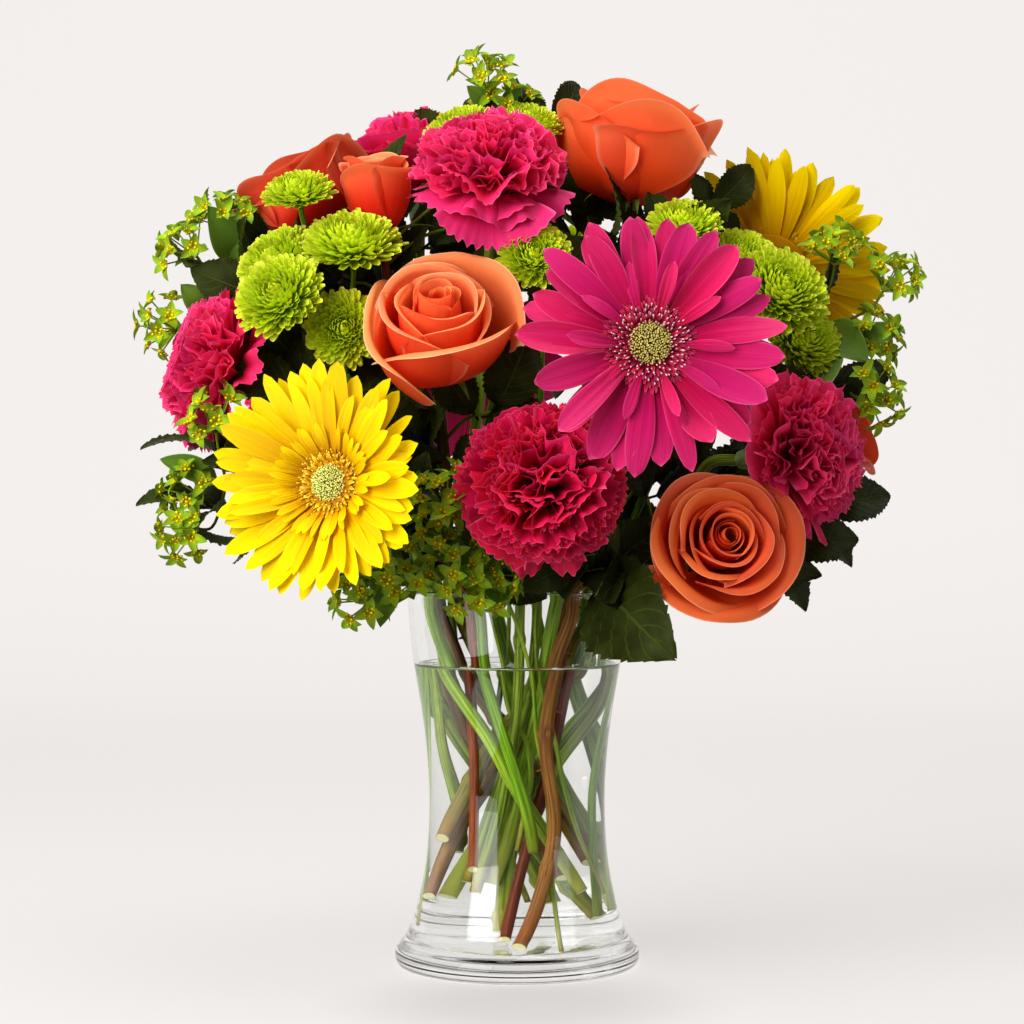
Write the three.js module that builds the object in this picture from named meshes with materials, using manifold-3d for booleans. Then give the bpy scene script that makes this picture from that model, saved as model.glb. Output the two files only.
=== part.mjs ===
// Gerberas in a vase: a mixed bouquet of cut flowers that stands in a clear glass vase of water.
// Millimetres, +Z up. The origin is the centre of the vase's flat foot, and -Y is the front.
import * as THREE from "three";
import { mergeVertices } from "three/addons/utils/BufferGeometryUtils.js";
import Module from "manifold-3d";

const wasm = await Module();
wasm.setup();

// Driving dimensions of the vase and its water.
const VASE_HEIGHT = 195;
const FOOT_RADIUS = 63.5;
const WAIST_RADIUS = 45.6;
const RIM_RADIUS = 56.8;
const FLOOR_HEIGHT = 10;
const WATER_HEIGHT = 156;
const WALL_AT_BASE = 3.6;
const WALL_AT_RIM = 2.2;
const GAP = 0.3;
const TURNS_AROUND = 36;

// Driving dimensions of the flowers.
const GERBERA_RADIUS = 62;
const ROSE_RADIUS = 38;
const CARNATION_RADIUS = 38;
const STEM_SIDES = 6;
const STEPS_PER_POINT = 2;
const GERBERA_NECK = 22;
const FLOWER_NECK = 16;
const TWIG_SIDES = 5;
const TWIG_STEPS = 4;
const TWIG_NECK = 5;
const SPRAY_TWIG_RADIUS = 1.4;
const SPRIG_RADIUS = 1.2;
const SPRIG_TWIG_RADIUS = 0.9;
const CLUSTER_RADIUS = 9;
const LEAF_THICKNESS = 1.2;

// The outer wall as [height, radius], from above the rounded foot to the rim.
const WALL_LINE = [
  [15, 58.6],
  [25, 54],
  [38, 50.4],
  [58, 47],
  [84, WAIST_RADIUS],
  [108, 46.6],
  [132, 49.4],
  [156, 53.4],
  [176, 55.8],
  [VASE_HEIGHT - 1.1, RIM_RADIUS],
];

const finish = {
  glass: { color: "#f2f6f4", roughness: 0.03, metalness: 0, transparent: true, opacity: 0.25 },
  water: { color: "#eef4f2", roughness: 0.02, metalness: 0, transparent: true, opacity: 0.3 },
  greenStem: { color: "#6f9c2c", roughness: 0.55, metalness: 0 },
  roseStem: { color: "#7c5426", roughness: 0.6, metalness: 0 },
  yellowRays: { color: "#ffd400", roughness: 0.6, metalness: 0 },
  magentaRays: { color: "#d21c63", roughness: 0.6, metalness: 0 },
  coralPetals: { color: "#f0683c", roughness: 0.6, metalness: 0 },
  pinkPetals: { color: "#dd2362", roughness: 0.65, metalness: 0 },
  limePetals: { color: "#a9cf1e", roughness: 0.65, metalness: 0 },
  sprigLeaf: { color: "#6d9a2e", roughness: 0.6, metalness: 0 },
};

const bouquet = new THREE.Group();

function addPiece(name, geometry, look) {
  const mesh = new THREE.Mesh(geometry, new THREE.MeshStandardMaterial(finish[look]));
  mesh.name = name;
  bouquet.add(mesh);
}

function vector(point) {
  return new THREE.Vector3(point[0], point[1], point[2]);
}

// ---------- solids, joins and cuts ----------

function solidOf(geometry) {
  const bare = geometry.clone();
  bare.deleteAttribute("normal");
  bare.deleteAttribute("uv");
  const merged = mergeVertices(bare, 1e-4);
  return new wasm.Manifold(
    new wasm.Mesh({
      numProp: 3,
      vertProperties: merged.attributes.position.array,
      triVerts: new Uint32Array(merged.index.array),
    }),
  );
}

function geometryOf(solid) {
  const mesh = solid.getMesh();
  const geometry = new THREE.BufferGeometry();
  geometry.setAttribute("position", new THREE.BufferAttribute(mesh.vertProperties, 3));
  geometry.setIndex(new THREE.BufferAttribute(mesh.triVerts, 1));
  geometry.computeVertexNormals();
  return geometry;
}

// The geometries joined into one closed body.
function joined(geometries) {
  const whole = geometries.map(solidOf).reduce((sum, next) => sum.add(next));
  return geometryOf(whole);
}

// A profile of [radius, height] pairs turned around Z.
function turned(profile, segments) {
  const points = profile.map(([radius, height]) => new THREE.Vector2(radius, height));
  return new THREE.LatheGeometry(points, segments).rotateX(Math.PI / 2);
}

// A round rod along a smooth line through the points.
function rod(points, radius, sides, steps) {
  const path = new THREE.CatmullRomCurve3(points.map(vector));
  const corners = Array.from({ length: sides }, (_, i) => {
    const angle = (2 * Math.PI * i) / sides;
    return new THREE.Vector2(radius * Math.cos(angle), radius * Math.sin(angle));
  });
  return new THREE.ExtrudeGeometry(new THREE.Shape(corners), {
    steps,
    extrudePath: path,
    bevelEnabled: false,
  });
}

// Moves a head that was made around +Z from the origin, so that it sits on its seat and faces its way.
function seated(geometry, seat, facing) {
  const turn = new THREE.Quaternion().setFromUnitVectors(
    new THREE.Vector3(0, 0, 1),
    vector(facing).normalize(),
  );
  return geometry.applyQuaternion(turn).translate(seat[0], seat[1], seat[2]);
}

// Pushes the points of a turned solid in and out around its axis, so that its edge shows petals.
function notched(geometry, petals, depth, fromRadius) {
  const place = geometry.attributes.position;
  for (let i = 0; i < place.count; i += 1) {
    const x = place.getX(i);
    const y = place.getY(i);
    const reach = Math.max(0, Math.hypot(x, y) / fromRadius - 1);
    const wave = 0.5 - 0.5 * Math.cos(petals * Math.atan2(y, x));
    const scale = 1 - depth * wave * Math.min(1, reach);
    place.setX(i, x * scale);
    place.setY(i, y * scale);
  }
  return geometry;
}

// ---------- the vase and its water ----------

const wallCurve = new THREE.SplineCurve(WALL_LINE.map(([z, r]) => new THREE.Vector2(r, z)));
const wallPoints = wallCurve.getPoints(WALL_LINE.length + 1);

function wallThickness(height) {
  const up = Math.min(1, Math.max(0, (height - FLOOR_HEIGHT) / (VASE_HEIGHT / 2)));
  return WALL_AT_BASE + (WALL_AT_RIM - WALL_AT_BASE) * up;
}

// The inner wall as [radius, height], from the rounded corner of the floor up to a height.
function innerWall(top, clearance) {
  const corner = [
    [46, FLOOR_HEIGHT + clearance],
    [49.5, FLOOR_HEIGHT + 0.9 + clearance],
    [51, FLOOR_HEIGHT + 4],
  ];
  const wall = wallPoints
    .filter((p) => p.y > FLOOR_HEIGHT + 10 && p.y < top - 1)
    .map((p) => [p.x - wallThickness(p.y) - clearance, p.y]);
  return [...corner.map(([r, z]) => [r - clearance, z]), ...wall];
}

function vaseGeometry() {
  const foot = [
    [0, 0],
    [FOOT_RADIUS - 6.5, 0],
    [FOOT_RADIUS - 2.6, 1.2],
    [FOOT_RADIUS - 0.5, 3.6],
    [FOOT_RADIUS, 6.5],
    [FOOT_RADIUS - 1.2, 10.5],
  ];
  const outer = wallPoints.map((p) => [p.x, p.y]);
  const rim = [
    [RIM_RADIUS - 0.4, VASE_HEIGHT - 0.25],
    [RIM_RADIUS - WALL_AT_RIM / 2, VASE_HEIGHT],
    [RIM_RADIUS - WALL_AT_RIM + 0.4, VASE_HEIGHT - 0.25],
  ];
  const inner = innerWall(VASE_HEIGHT, 0).reverse();
  return turned([...foot, ...outer, ...rim, ...inner, [0, FLOOR_HEIGHT]], TURNS_AROUND);
}

// The water fills the vase and leaves a narrow channel around each stem.
function waterGeometry(channels) {
  const wall = innerWall(WATER_HEIGHT, GAP);
  const edge = wall[wall.length - 1][0] + 0.4;
  const profile = [
    [0, FLOOR_HEIGHT + GAP],
    ...wall,
    [edge, WATER_HEIGHT],
    [0, WATER_HEIGHT],
  ];
  const full = solidOf(turned(profile, TURNS_AROUND));
  const cut = channels.map(solidOf).reduce((rest, channel) => rest.subtract(channel), full);
  const bodies = cut.decompose().sort((a, b) => b.volume() - a.volume());
  return geometryOf(bodies[0]);
}

// ---------- flower heads, each made around +Z with its seat at the origin ----------

function gerberaHead(radius, cup) {
  const back = 10;
  const tip = back + cup;
  const profile = [
    [0, 0],
    [5, 0],
    [9, 4],
    [12, back],
    [radius * 0.62, back + cup * 0.45],
    [radius, tip],
    [radius, tip + 1.6],
    [radius * 0.6, back + cup * 0.45 + 3.6],
    [18, back + 4],
    [11, back + 6.5],
    [0, back + 5.5],
  ];
  return notched(turned(profile, 28), 14, 0.16, radius * 0.5);
}

function roseHead(radius, height) {
  const profile = [
    [0, 0],
    [radius * 0.2, 0.5],
    [radius * 0.48, height * 0.12],
    [radius * 0.82, height * 0.38],
    [radius * 0.98, height * 0.68],
    [radius, height * 0.84],
    [radius * 0.78, height * 0.9],
    [radius * 0.5, height * 0.98],
    [radius * 0.2, height],
    [0, height * 0.94],
  ];
  return notched(turned(profile, 15), 5, 0.1, radius * 0.4);
}

function carnationHead(radius, height) {
  const profile = [
    [0, 0],
    [5, 0.5],
    [7, height * 0.2],
    [9, height * 0.38],
    [radius * 0.7, height * 0.46],
    [radius, height * 0.62],
    [radius * 0.94, height * 0.8],
    [radius * 0.6, height * 0.95],
    [0, height],
  ];
  return notched(turned(profile, 18), 9, 0.12, radius * 0.5);
}

function buttonHead(radius) {
  const profile = [
    [0, 0],
    [radius * 0.28, 0.4],
    [radius * 0.75, radius * 0.28],
    [radius, radius * 0.62],
    [radius * 0.92, radius * 0.86],
    [radius * 0.5, radius * 1.04],
    [0, radius * 1.08],
  ];
  return turned(profile, 10);
}

// A flat pointed leaf from its base to its tip, facing about the way given.
function leaf(base, tip, facing, width) {
  const from = vector(base);
  const along = vector(tip).sub(from);
  const length = along.length();
  along.normalize();
  const side = new THREE.Vector3().crossVectors(along, vector(facing)).normalize();
  const normal = new THREE.Vector3().crossVectors(side, along);
  const outline = new THREE.Shape();
  outline.moveTo(-LEAF_THICKNESS, 0);
  outline.quadraticCurveTo(-width * 0.75, length * 0.42, 0, length);
  outline.quadraticCurveTo(width * 0.75, length * 0.42, LEAF_THICKNESS, 0);
  const blade = new THREE.ExtrudeGeometry(outline, {
    depth: LEAF_THICKNESS,
    bevelEnabled: false,
    curveSegments: 5,
  });
  const frame = new THREE.Matrix4().makeBasis(side, along, normal).setPosition(from);
  return blade.translate(0, 0, -LEAF_THICKNESS / 2).applyMatrix4(frame);
}

// ---------- the cut stems ----------
// Each stem's line runs from its cut end in the water, through the waist and the mouth, to its seat.

const gerberas = {
  gerbera_magenta: {
    line: [
      [-11, -6, 42], [-5, -8, 64], [3.5, -10, 108], [14, -20, 158], [21, -30, 195],
      [40, -78, 262],
    ],
    seat: [62, -118, 313],
    facing: [0.02, -0.98, 0.12],
    stemRadius: 3.4,
    radius: GERBERA_RADIUS,
    cup: 4,
    look: "magentaRays",
  },
  gerbera_yellow_left: {
    line: [
      [30, -20, 40], [16, -21.5, 65], [-2, -26, 98], [-12, -27, 119], [-34, -20, 157],
      [-43, -19, 182], [-45, -22, 198], [-60, -52, 230],
    ],
    seat: [-83, -110, 248],
    facing: [-0.42, -0.9, 0.1],
    stemRadius: 3.2,
    radius: GERBERA_RADIUS - 3,
    cup: 14,
    look: "yellowRays",
  },
  gerbera_yellow_right: {
    line: [
      [-24, 20, 30], [-5, 28, 78], [5, 25, 100], [14, 24, 117], [33, 24, 157], [38, 31, 195],
      [92, 22, 300],
    ],
    seat: [131, 10, 359],
    facing: [0.5, 0.64, 0.54],
    stemRadius: 3.1,
    radius: GERBERA_RADIUS,
    cup: 16,
    look: "yellowRays",
  },
  gerbera_magenta_back: {
    line: [[33, 22, 24], [16.5, 32, 78], [-4, 40.5, 157], [-14, 45, 195], [-24, 82, 262]],
    seat: [-26, 114, 316],
    facing: [-0.25, 0.9, 0.36],
    stemRadius: 3.2,
    radius: GERBERA_RADIUS - 2,
    cup: 6,
    look: "magentaRays",
  },
};

const roses = {
  rose_front: {
    line: [[27, 14, 49], [7, 14, 100], [-20, 8, 158], [-34, 0, 195], [-36, -30, 250]],
    seat: [-39, -60, 305.5],
    facing: [0.02, -0.76, 0.65],
    stemRadius: 3.3,
    radius: ROSE_RADIUS,
    height: 58,
  },
  rose_lower_right: {
    line: [
      [0, -44, 12.5], [10, -39, 38], [18, -34, 74], [13.5, -34, 120], [18.5, -30, 157],
      [27, -37, 182], [30, -38, 198], [60, -40, 208],
    ],
    seat: [96, -60.5, 213],
    facing: [0.14, -0.95, 0.27],
    stemRadius: 3.6,
    radius: ROSE_RADIUS,
    height: 50,
  },
  rose_top: {
    line: [
      [-6, -30, 14.5], [0, -24, 44], [8, -16, 80], [14, -14, 107], [22, -12.5, 155],
      [30, -8, 195], [50, -4, 300],
    ],
    seat: [57, -8, 390],
    facing: [0.08, -0.08, 1],
    stemRadius: 2.6,
    radius: 42,
    height: 62,
  },
  rose_left_back: {
    line: [
      [18, 8, 42], [-2, 7, 86], [-18, 5, 120], [-29, 3, 157], [-44, 5, 195], [-72, 4, 290],
    ],
    seat: [-98, 10, 378],
    facing: [-0.5, 0.12, 0.85],
    stemRadius: 2.8,
    radius: 36,
    height: 48,
  },
  rose_bud: {
    line: [
      [-21, -30, 52], [-20, -27, 92], [-19.5, -18.5, 131], [-21, -15, 157], [-27, -15, 195],
      [-42, -20, 215], [-54, -16, 260],
    ],
    seat: [-68, -30, 370],
    facing: [-0.1, -0.16, 0.98],
    stemRadius: 2.5,
    radius: 19,
    height: 50,
  },
  rose_right_back: {
    line: [
      [-35, -11, 65], [-22, -14, 93], [-3, -8, 129], [23, -3, 155], [30, 6, 168],
      [41, 18, 184], [45, 21, 199], [90, 34, 236],
    ],
    seat: [142, 24, 274],
    facing: [0.86, -0.02, 0.36],
    stemRadius: 3.8,
    radius: 35,
    height: 46,
  },
  rose_back: {
    line: [
      [-38, 0, 32], [-21.5, -2, 77], [1, 2, 120], [12, 7, 146], [17, 9, 157], [26, 15, 195],
      [46, 62, 262],
    ],
    seat: [62, 96, 312],
    facing: [0.34, 0.86, 0.38],
    stemRadius: 3.7,
    radius: ROSE_RADIUS,
    height: 50,
  },
};

const carnations = {
  carnation_top: {
    line: [
      [-20, -2, 42], [-11, -6, 80], [-6, -10, 100], [-1, -14, 119], [3, -15, 134],
      [8, -13, 157], [10, -12, 195], [-6, -18, 300],
    ],
    seat: [-14, -40, 371],
    facing: [0, -0.38, 0.92],
    stemRadius: 2.8,
    height: 60,
  },
  carnation_front: {
    line: [
      [-18, -12, 38], [-8, -15, 80], [-5, -18, 100], [-2, -24, 119], [0, -27, 140],
      [1, -26, 157], [2, -32, 195], [8, -52, 226],
    ],
    seat: [12, -72, 246],
    facing: [0, -0.99, 0.1],
    stemRadius: 2.8,
    height: 54,
  },
  carnation_left: {
    line: [
      [-23, 8, 57], [-21, 7, 77], [-25, 0, 93], [-32.5, -8, 117], [-37, -10, 156],
      [-47, -6, 195], [-84, -14, 264],
    ],
    seat: [-118, -22, 298],
    facing: [-0.9, -0.26, 0.32],
    stemRadius: 3.1,
    height: 54,
  },
  carnation_right: {
    line: [
      [-7, -3, 14], [-2, 0, 63], [6, -1, 84], [15, 3, 107], [30, 8, 136], [37, 4, 157],
      [46, -10, 195], [84, -22, 240],
    ],
    seat: [112, -32, 262],
    facing: [0.82, -0.55, 0.08],
    stemRadius: 3.3,
    height: 54,
  },
  carnation_top_back: {
    line: [
      [29, 18, 18], [14.5, 20, 43.5], [-17, 20, 113], [-28, 19, 142], [-36, 20, 163],
      [-42, 24, 195], [-56, 30, 290],
    ],
    seat: [-52, 40, 388],
    facing: [0, 0.24, 0.97],
    stemRadius: 3.1,
    height: 52,
  },
  carnation_back_left: {
    line: [[11, 38.5, 24], [-3, 36, 78], [-22, 37, 157], [-33, 36, 195], [-62, 54, 256]],
    seat: [-90, 64, 296],
    facing: [-0.66, 0.68, 0.32],
    stemRadius: 2.9,
    height: 56,
  },
};

// A spray's stem forks below its small blooms: each bloom has its seat, facing and radius.
const sprays = {
  left: {
    line: [
      [8, -30, 63], [5, -33, 82], [-2, -36, 108], [-7, -36, 124], [-16, -33, 157],
      [-21, -31, 195], [-58, -44, 262], [-86, -52, 304],
    ],
    stemRadius: 2.9,
    blooms: [
      { seat: [-113, -64, 337], facing: [-0.35, -0.8, 0.45], radius: 18 },
      { seat: [-116, -36, 355], facing: [-0.5, -0.6, 0.6], radius: 17.5 },
      { seat: [-82, -52, 359], facing: [0, -0.55, 0.83], radius: 19.5 },
      { seat: [-109, -40, 389], facing: [-0.1, -0.5, 0.85], radius: 14 },
      { seat: [-86, -58, 325], facing: [0.05, -0.95, 0.1], radius: 15 },
    ],
  },
  top: {
    line: [
      [-36, 10, 30], [-34, 14, 90], [-33, 14, 157], [-34, 12, 195], [-20, 8, 260],
      [-6, 2, 330], [-4, -2, 385],
    ],
    stemRadius: 2.4,
    blooms: [
      { seat: [-26, -6, 424], facing: [-0.3, -0.5, 0.8], radius: 16 },
      { seat: [5, -6, 428], facing: [0.1, -0.5, 0.85], radius: 14 },
      { seat: [8, -70, 358], facing: [0.05, -0.9, 0.4], radius: 14 },
    ],
  },
  right: {
    line: [
      [34, -5, 25], [33, -8, 90], [36, -4, 117], [44, 0, 157], [48, 3, 195], [78, -4, 270],
      [104, -8, 312],
    ],
    stemRadius: 2.4,
    blooms: [
      { seat: [84, -44, 372], facing: [0, -0.6, 0.8], radius: 15 },
      { seat: [112, -30, 358], facing: [0.1, -0.7, 0.7], radius: 15 },
      { seat: [128, -48, 340], facing: [0.3, -0.8, 0.5], radius: 19 },
      { seat: [140, -26, 318], facing: [0.5, -0.75, 0.4], radius: 17 },
      { seat: [103, -36, 326], facing: [-0.1, -0.95, 0.1], radius: 14 },
    ],
  },
  back: {
    line: [
      [37, 10, 24], [29, 21, 78], [16, 37, 157], [9, 46, 195], [12, 76, 270], [14, 96, 340],
    ],
    stemRadius: 2.5,
    blooms: [
      { seat: [2, 104, 384], facing: [-0.1, 0.7, 0.7], radius: 17 },
      { seat: [30, 106, 372], facing: [0.2, 0.75, 0.6], radius: 16 },
    ],
  },
};

// A sprig's thin stem forks into twigs that end in small clusters with star bracts.
const sprigs = {
  left: {
    line: [
      [0, -17, 62], [3, -16, 80], [6, -19, 100], [4, -20, 119], [-3, -18.5, 135],
      [-7, -20, 157], [-16, -11, 195], [-24, 4, 240], [-68, -12, 298], [-134, -4, 356],
    ],
    clusters: [[-172, -20, 376], [-152, -12, 394], [-186, -16, 332]],
  },
  low_left: {
    line: [
      [-41, 5, 16], [-38, 6, 60], [-37, 1, 120], [-38, -1, 157], [-50, 2, 196],
      [-104, -34, 222], [-146, -46, 250],
    ],
    clusters: [[-168, -52, 248], [-170, -56, 226], [-150, -70, 286]],
  },
  front: {
    line: [
      [21, -42, 12], [16, -31, 52], [13, -25, 100], [9, -25, 120], [6, -33, 157],
      [-8, -44, 197], [-24, -74, 214],
    ],
    clusters: [
      [-36, -96, 246], [-32, -94, 214], [-66, -92, 200], [-80, -96, 194], [-4, -82, 212],
    ],
  },
  top: {
    line: [
      [4, 12, 30], [-3, 9, 60], [-8, 17, 112], [-5, 18, 157], [-4, 16, 195], [-6, 20, 320],
      [-10, 10, 420],
    ],
    clusters: [[-16, -6, 466], [-6, 4, 452]],
  },
  right: {
    line: [
      [40, -10, 38], [28, -15, 68], [21, -19, 96], [17, -20, 118], [12, -22, 140],
      [10, -25, 157], [12, -22, 195], [34, -20, 216], [72, 6, 258], [118, 4, 296],
      [150, -8, 326],
    ],
    clusters: [[188, -18, 328], [185, -40, 296], [196, -14, 360], [165, -24, 374]],
  },
};

// Big leaves as [stem they grow on, base, tip, facing, width].
const roseLeaves = {
  rose_lower_right: [
    [[44, -40, 204], [70, -112, 168], [0.3, -0.75, -0.5], 46],
    [[80, -43, 209], [152, -54, 206], [0.1, -0.9, 0.3], 26],
  ],
  rose_left_back: [[[-66, 4, 270], [-150, 10, 352], [-0.3, -0.9, 0.1], 40]],
  rose_bud: [[[-54, -16, 260], [-150, -76, 262], [-0.2, -0.95, 0.1], 30]],
  rose_right_back: [[[80, 32, 226], [150, 70, 216], [0.1, 0.8, -0.5], 34]],
  rose_back: [[[38, 42, 236], [20, 104, 226], [-0.2, 0.85, -0.5], 36]],
};

// ---------- building ----------

const channels = [];

function stemRod(line, seat, facing, radius, neck) {
  const below = vector(seat).addScaledVector(vector(facing).normalize(), -GAP);
  const bend = vector(seat).addScaledVector(vector(facing).normalize(), -neck);
  const points = [...line, bend.toArray(), below.toArray()];
  const steps = STEPS_PER_POINT * points.length;
  channels.push(rod(points, radius + GAP, STEM_SIDES, steps));
  return rod(points, radius, STEM_SIDES, steps);
}

// A thin side shoot that reaches its end along the way given.
function twig(from, to, facing, radius) {
  const end = vector(to).addScaledVector(vector(facing).normalize(), -GAP);
  const bend = vector(to).addScaledVector(vector(facing).normalize(), -TWIG_NECK);
  return rod([from, bend.toArray(), end.toArray()], radius, TWIG_SIDES, TWIG_STEPS);
}

// The point of the line that is nearest to a place.
function nearestOn(line, place) {
  const curve = new THREE.CatmullRomCurve3(line.map(vector));
  const target = vector(place);
  return curve
    .getSpacedPoints(60)
    .reduce((best, p) => (p.distanceTo(target) < best.distanceTo(target) ? p : best))
    .toArray();
}

for (const [name, g] of Object.entries(gerberas)) {
  addPiece(`${name}_stem`, stemRod(g.line, g.seat, g.facing, g.stemRadius, GERBERA_NECK), "greenStem");
  addPiece(`${name}_head`, seated(gerberaHead(g.radius, g.cup), g.seat, g.facing), g.look);
}

for (const [name, r] of Object.entries(roses)) {
  const stem = stemRod(r.line, r.seat, r.facing, r.stemRadius, FLOWER_NECK);
  const leaves = (roseLeaves[name] ?? []).map((one) => leaf(...one));
  addPiece(`${name}_stem`, joined([stem, ...leaves]), "roseStem");
  addPiece(`${name}_bloom`, seated(roseHead(r.radius, r.height), r.seat, r.facing), "coralPetals");
}

for (const [name, c] of Object.entries(carnations)) {
  const bloom = carnationHead(CARNATION_RADIUS, c.height);
  addPiece(`${name}_stem`, stemRod(c.line, c.seat, c.facing, c.stemRadius, FLOWER_NECK), "greenStem");
  addPiece(`${name}_bloom`, seated(bloom, c.seat, c.facing), "pinkPetals");
}

for (const [name, s] of Object.entries(sprays)) {
  const forks = s.blooms.map((b) => {
    return twig(nearestOn(s.line.slice(-2), b.seat), b.seat, b.facing, SPRAY_TWIG_RADIUS);
  });
  const steps = STEPS_PER_POINT * s.line.length;
  const main = rod(s.line, s.stemRadius, STEM_SIDES, steps);
  channels.push(rod(s.line, s.stemRadius + GAP, STEM_SIDES, steps));
  addPiece(`button_spray_${name}_stem`, joined([main, ...forks]), "greenStem");
  s.blooms.forEach((b, i) => {
    const head = seated(buttonHead(b.radius), b.seat, b.facing);
    addPiece(`button_bloom_${name}_${i + 1}`, head, "limePetals");
  });
}

for (const [name, s] of Object.entries(sprigs)) {
  const steps = STEPS_PER_POINT * s.line.length;
  const main = rod(s.line, SPRIG_RADIUS, TWIG_SIDES, steps);
  channels.push(rod(s.line, SPRIG_RADIUS + GAP, TWIG_SIDES, steps));
  const parts = s.clusters.flatMap((c) => [
    twig(nearestOn(s.line.slice(-2), c), c, [0, 0, 1], SPRIG_TWIG_RADIUS),
    new THREE.IcosahedronGeometry(CLUSTER_RADIUS, 1).scale(1, 1, 0.6).translate(...c),
  ]);
  addPiece(`bupleurum_${name}`, joined([main, ...parts]), "sprigLeaf");
}

addPiece("glass_vase", vaseGeometry(), "glass");
addPiece("water", waterGeometry(channels), "water");

export default bouquet;
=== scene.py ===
"""Gerberas in a vase: a mixed bouquet of cut flowers in a clear glass vase of water.

Metres, +Z up. The origin is the centre of the vase's flat foot, and -Y is the front.
"""

import bpy
import numpy as np
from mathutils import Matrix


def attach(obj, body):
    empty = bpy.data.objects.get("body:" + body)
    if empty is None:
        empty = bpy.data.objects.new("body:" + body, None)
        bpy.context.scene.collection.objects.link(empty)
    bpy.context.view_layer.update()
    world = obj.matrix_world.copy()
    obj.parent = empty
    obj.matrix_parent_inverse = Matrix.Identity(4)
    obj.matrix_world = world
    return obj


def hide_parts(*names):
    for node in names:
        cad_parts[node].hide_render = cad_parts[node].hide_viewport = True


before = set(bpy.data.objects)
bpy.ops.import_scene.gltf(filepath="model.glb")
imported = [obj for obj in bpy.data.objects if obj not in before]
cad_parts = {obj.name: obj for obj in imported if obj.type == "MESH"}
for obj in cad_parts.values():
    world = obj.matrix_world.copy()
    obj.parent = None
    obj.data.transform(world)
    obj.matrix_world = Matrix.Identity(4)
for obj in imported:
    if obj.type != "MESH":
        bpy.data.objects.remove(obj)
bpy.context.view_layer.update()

# ---------------------------------------------------------------------------
# The studio: a pale sweep of paper that rises behind the vase, a large soft
# light at the front left, weak ones above and at the right, and the view.
# ---------------------------------------------------------------------------

MM = 0.001
VIEW_DISTANCE = 1.350
VIEW_HEIGHT = 0.2356
VIEW_SIDE = -0.0026
FRAME_WIDTH_AT_VASE = 0.5325
FILM_WIDTH = 36.0


def new_material(name, values):
    """A material with nodes and its Principled shader, whose sockets take the values."""
    material = bpy.data.materials.new(name)
    material.use_nodes = True
    shader = material.node_tree.nodes["Principled BSDF"]
    for socket, value in values.items():
        shader.inputs[socket].default_value = value
    return material, shader


def put_mesh(name, vertices, quads):
    """A smooth mesh object from an (n, 3) array of places and an (m, 4) array of corners."""
    mesh = bpy.data.meshes.new(name)
    mesh.vertices.add(len(vertices))
    mesh.vertices.foreach_set("co", np.ascontiguousarray(vertices, np.float32).ravel())
    mesh.loops.add(4 * len(quads))
    mesh.loops.foreach_set("vertex_index", np.ascontiguousarray(quads, np.int32).ravel())
    mesh.polygons.add(len(quads))
    mesh.polygons.foreach_set("loop_start", np.arange(len(quads), dtype=np.int32) * 4)
    mesh.update(calc_edges=True)
    mesh.polygons.foreach_set("use_smooth", np.full(len(quads), True))
    thing = bpy.data.objects.new(name, mesh)
    bpy.context.scene.collection.objects.link(thing)
    return thing


def sweep_paper():
    """Paper: flat from in front of the vase to behind it, a quarter circle, then upright."""
    bend, front, back, top, half = 0.9, -3.0, 1.6, 5.0, 4.0
    arc = np.linspace(0, np.pi / 2, 25)
    y = np.concatenate([[front], back + bend * np.sin(arc), [back + bend]])
    z = np.concatenate([[0], bend - bend * np.cos(arc), [top]])
    x = np.array([half, -half])
    places = np.stack(
        [np.tile(x, (len(y), 1)), np.tile(y[:, None], (1, 2)), np.tile(z[:, None], (1, 2))],
        axis=-1,
    ).reshape(-1, 3)
    row = np.arange(len(y) - 1)[:, None] * 2
    return places, row + np.array([0, 2, 3, 1])


def wire(tree, kind, inputs, **settings):
    """A new node; inputs are constants or other nodes' outputs, by name or number."""
    node = tree.nodes.new("ShaderNode" + kind)
    for name, value in settings.items():
        setattr(node, name, value)
    for key, value in inputs.items():
        if isinstance(value, bpy.types.NodeSocket):
            tree.links.new(value, node.inputs[key])
        else:
            node.inputs[key].default_value = value
    return node


def worked(tree, operation, *values):
    """What arithmetic on one or two values gives."""
    return wire(tree, "Math", dict(enumerate(values)), operation=operation).outputs[0]


def ramp(tree, value, low, high, start=0.0, end=1.0, **settings):
    """The value, moved from the range low to high onto start to end and held at both ends."""
    return wire(tree, "MapRange", {
        "Value": value, "From Min": low, "From Max": high, "To Min": start, "To Max": end,
    }, **settings).outputs["Result"]


def mixed(tree, share, first, second, **settings):
    """Two colours blended by a share of the second."""
    return wire(tree, "MixRGB", {"Fac": share, "Color1": first, "Color2": second}, **settings).outputs[0]


def noise(tree, place, scale, detail):
    """Cloudy noise around a half."""
    return wire(tree, "TexNoise", {"Vector": place, "Scale": scale, "Detail": detail}).outputs["Fac"]


# The paper glows as if lit from behind: from one distance behind the vase to another.
GLOW_FROM = -0.35
GLOW_TO = 2.2
GLOW_NEAR = 0.63
GLOW_FAR = 0.885
GLOW_ON_FLOWERS = 0.30
# In mirror images the paper is dark from the first of these places to the front.
DARK_FROM = -0.10
DARK_TO = -0.28
PAPER_COLOUR = (0.22, 0.213, 0.208, 1)
# A painted shadow: the glow is weaker in a round patch that lies in front of the vase's foot.
FOOT_SHADE = 0.74
FOOT_SHADE_MIDDLE = (0.005, -0.110, 0)
FOOT_SHADE_FROM = 0.02
FOOT_SHADE_TO = 0.11


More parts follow.
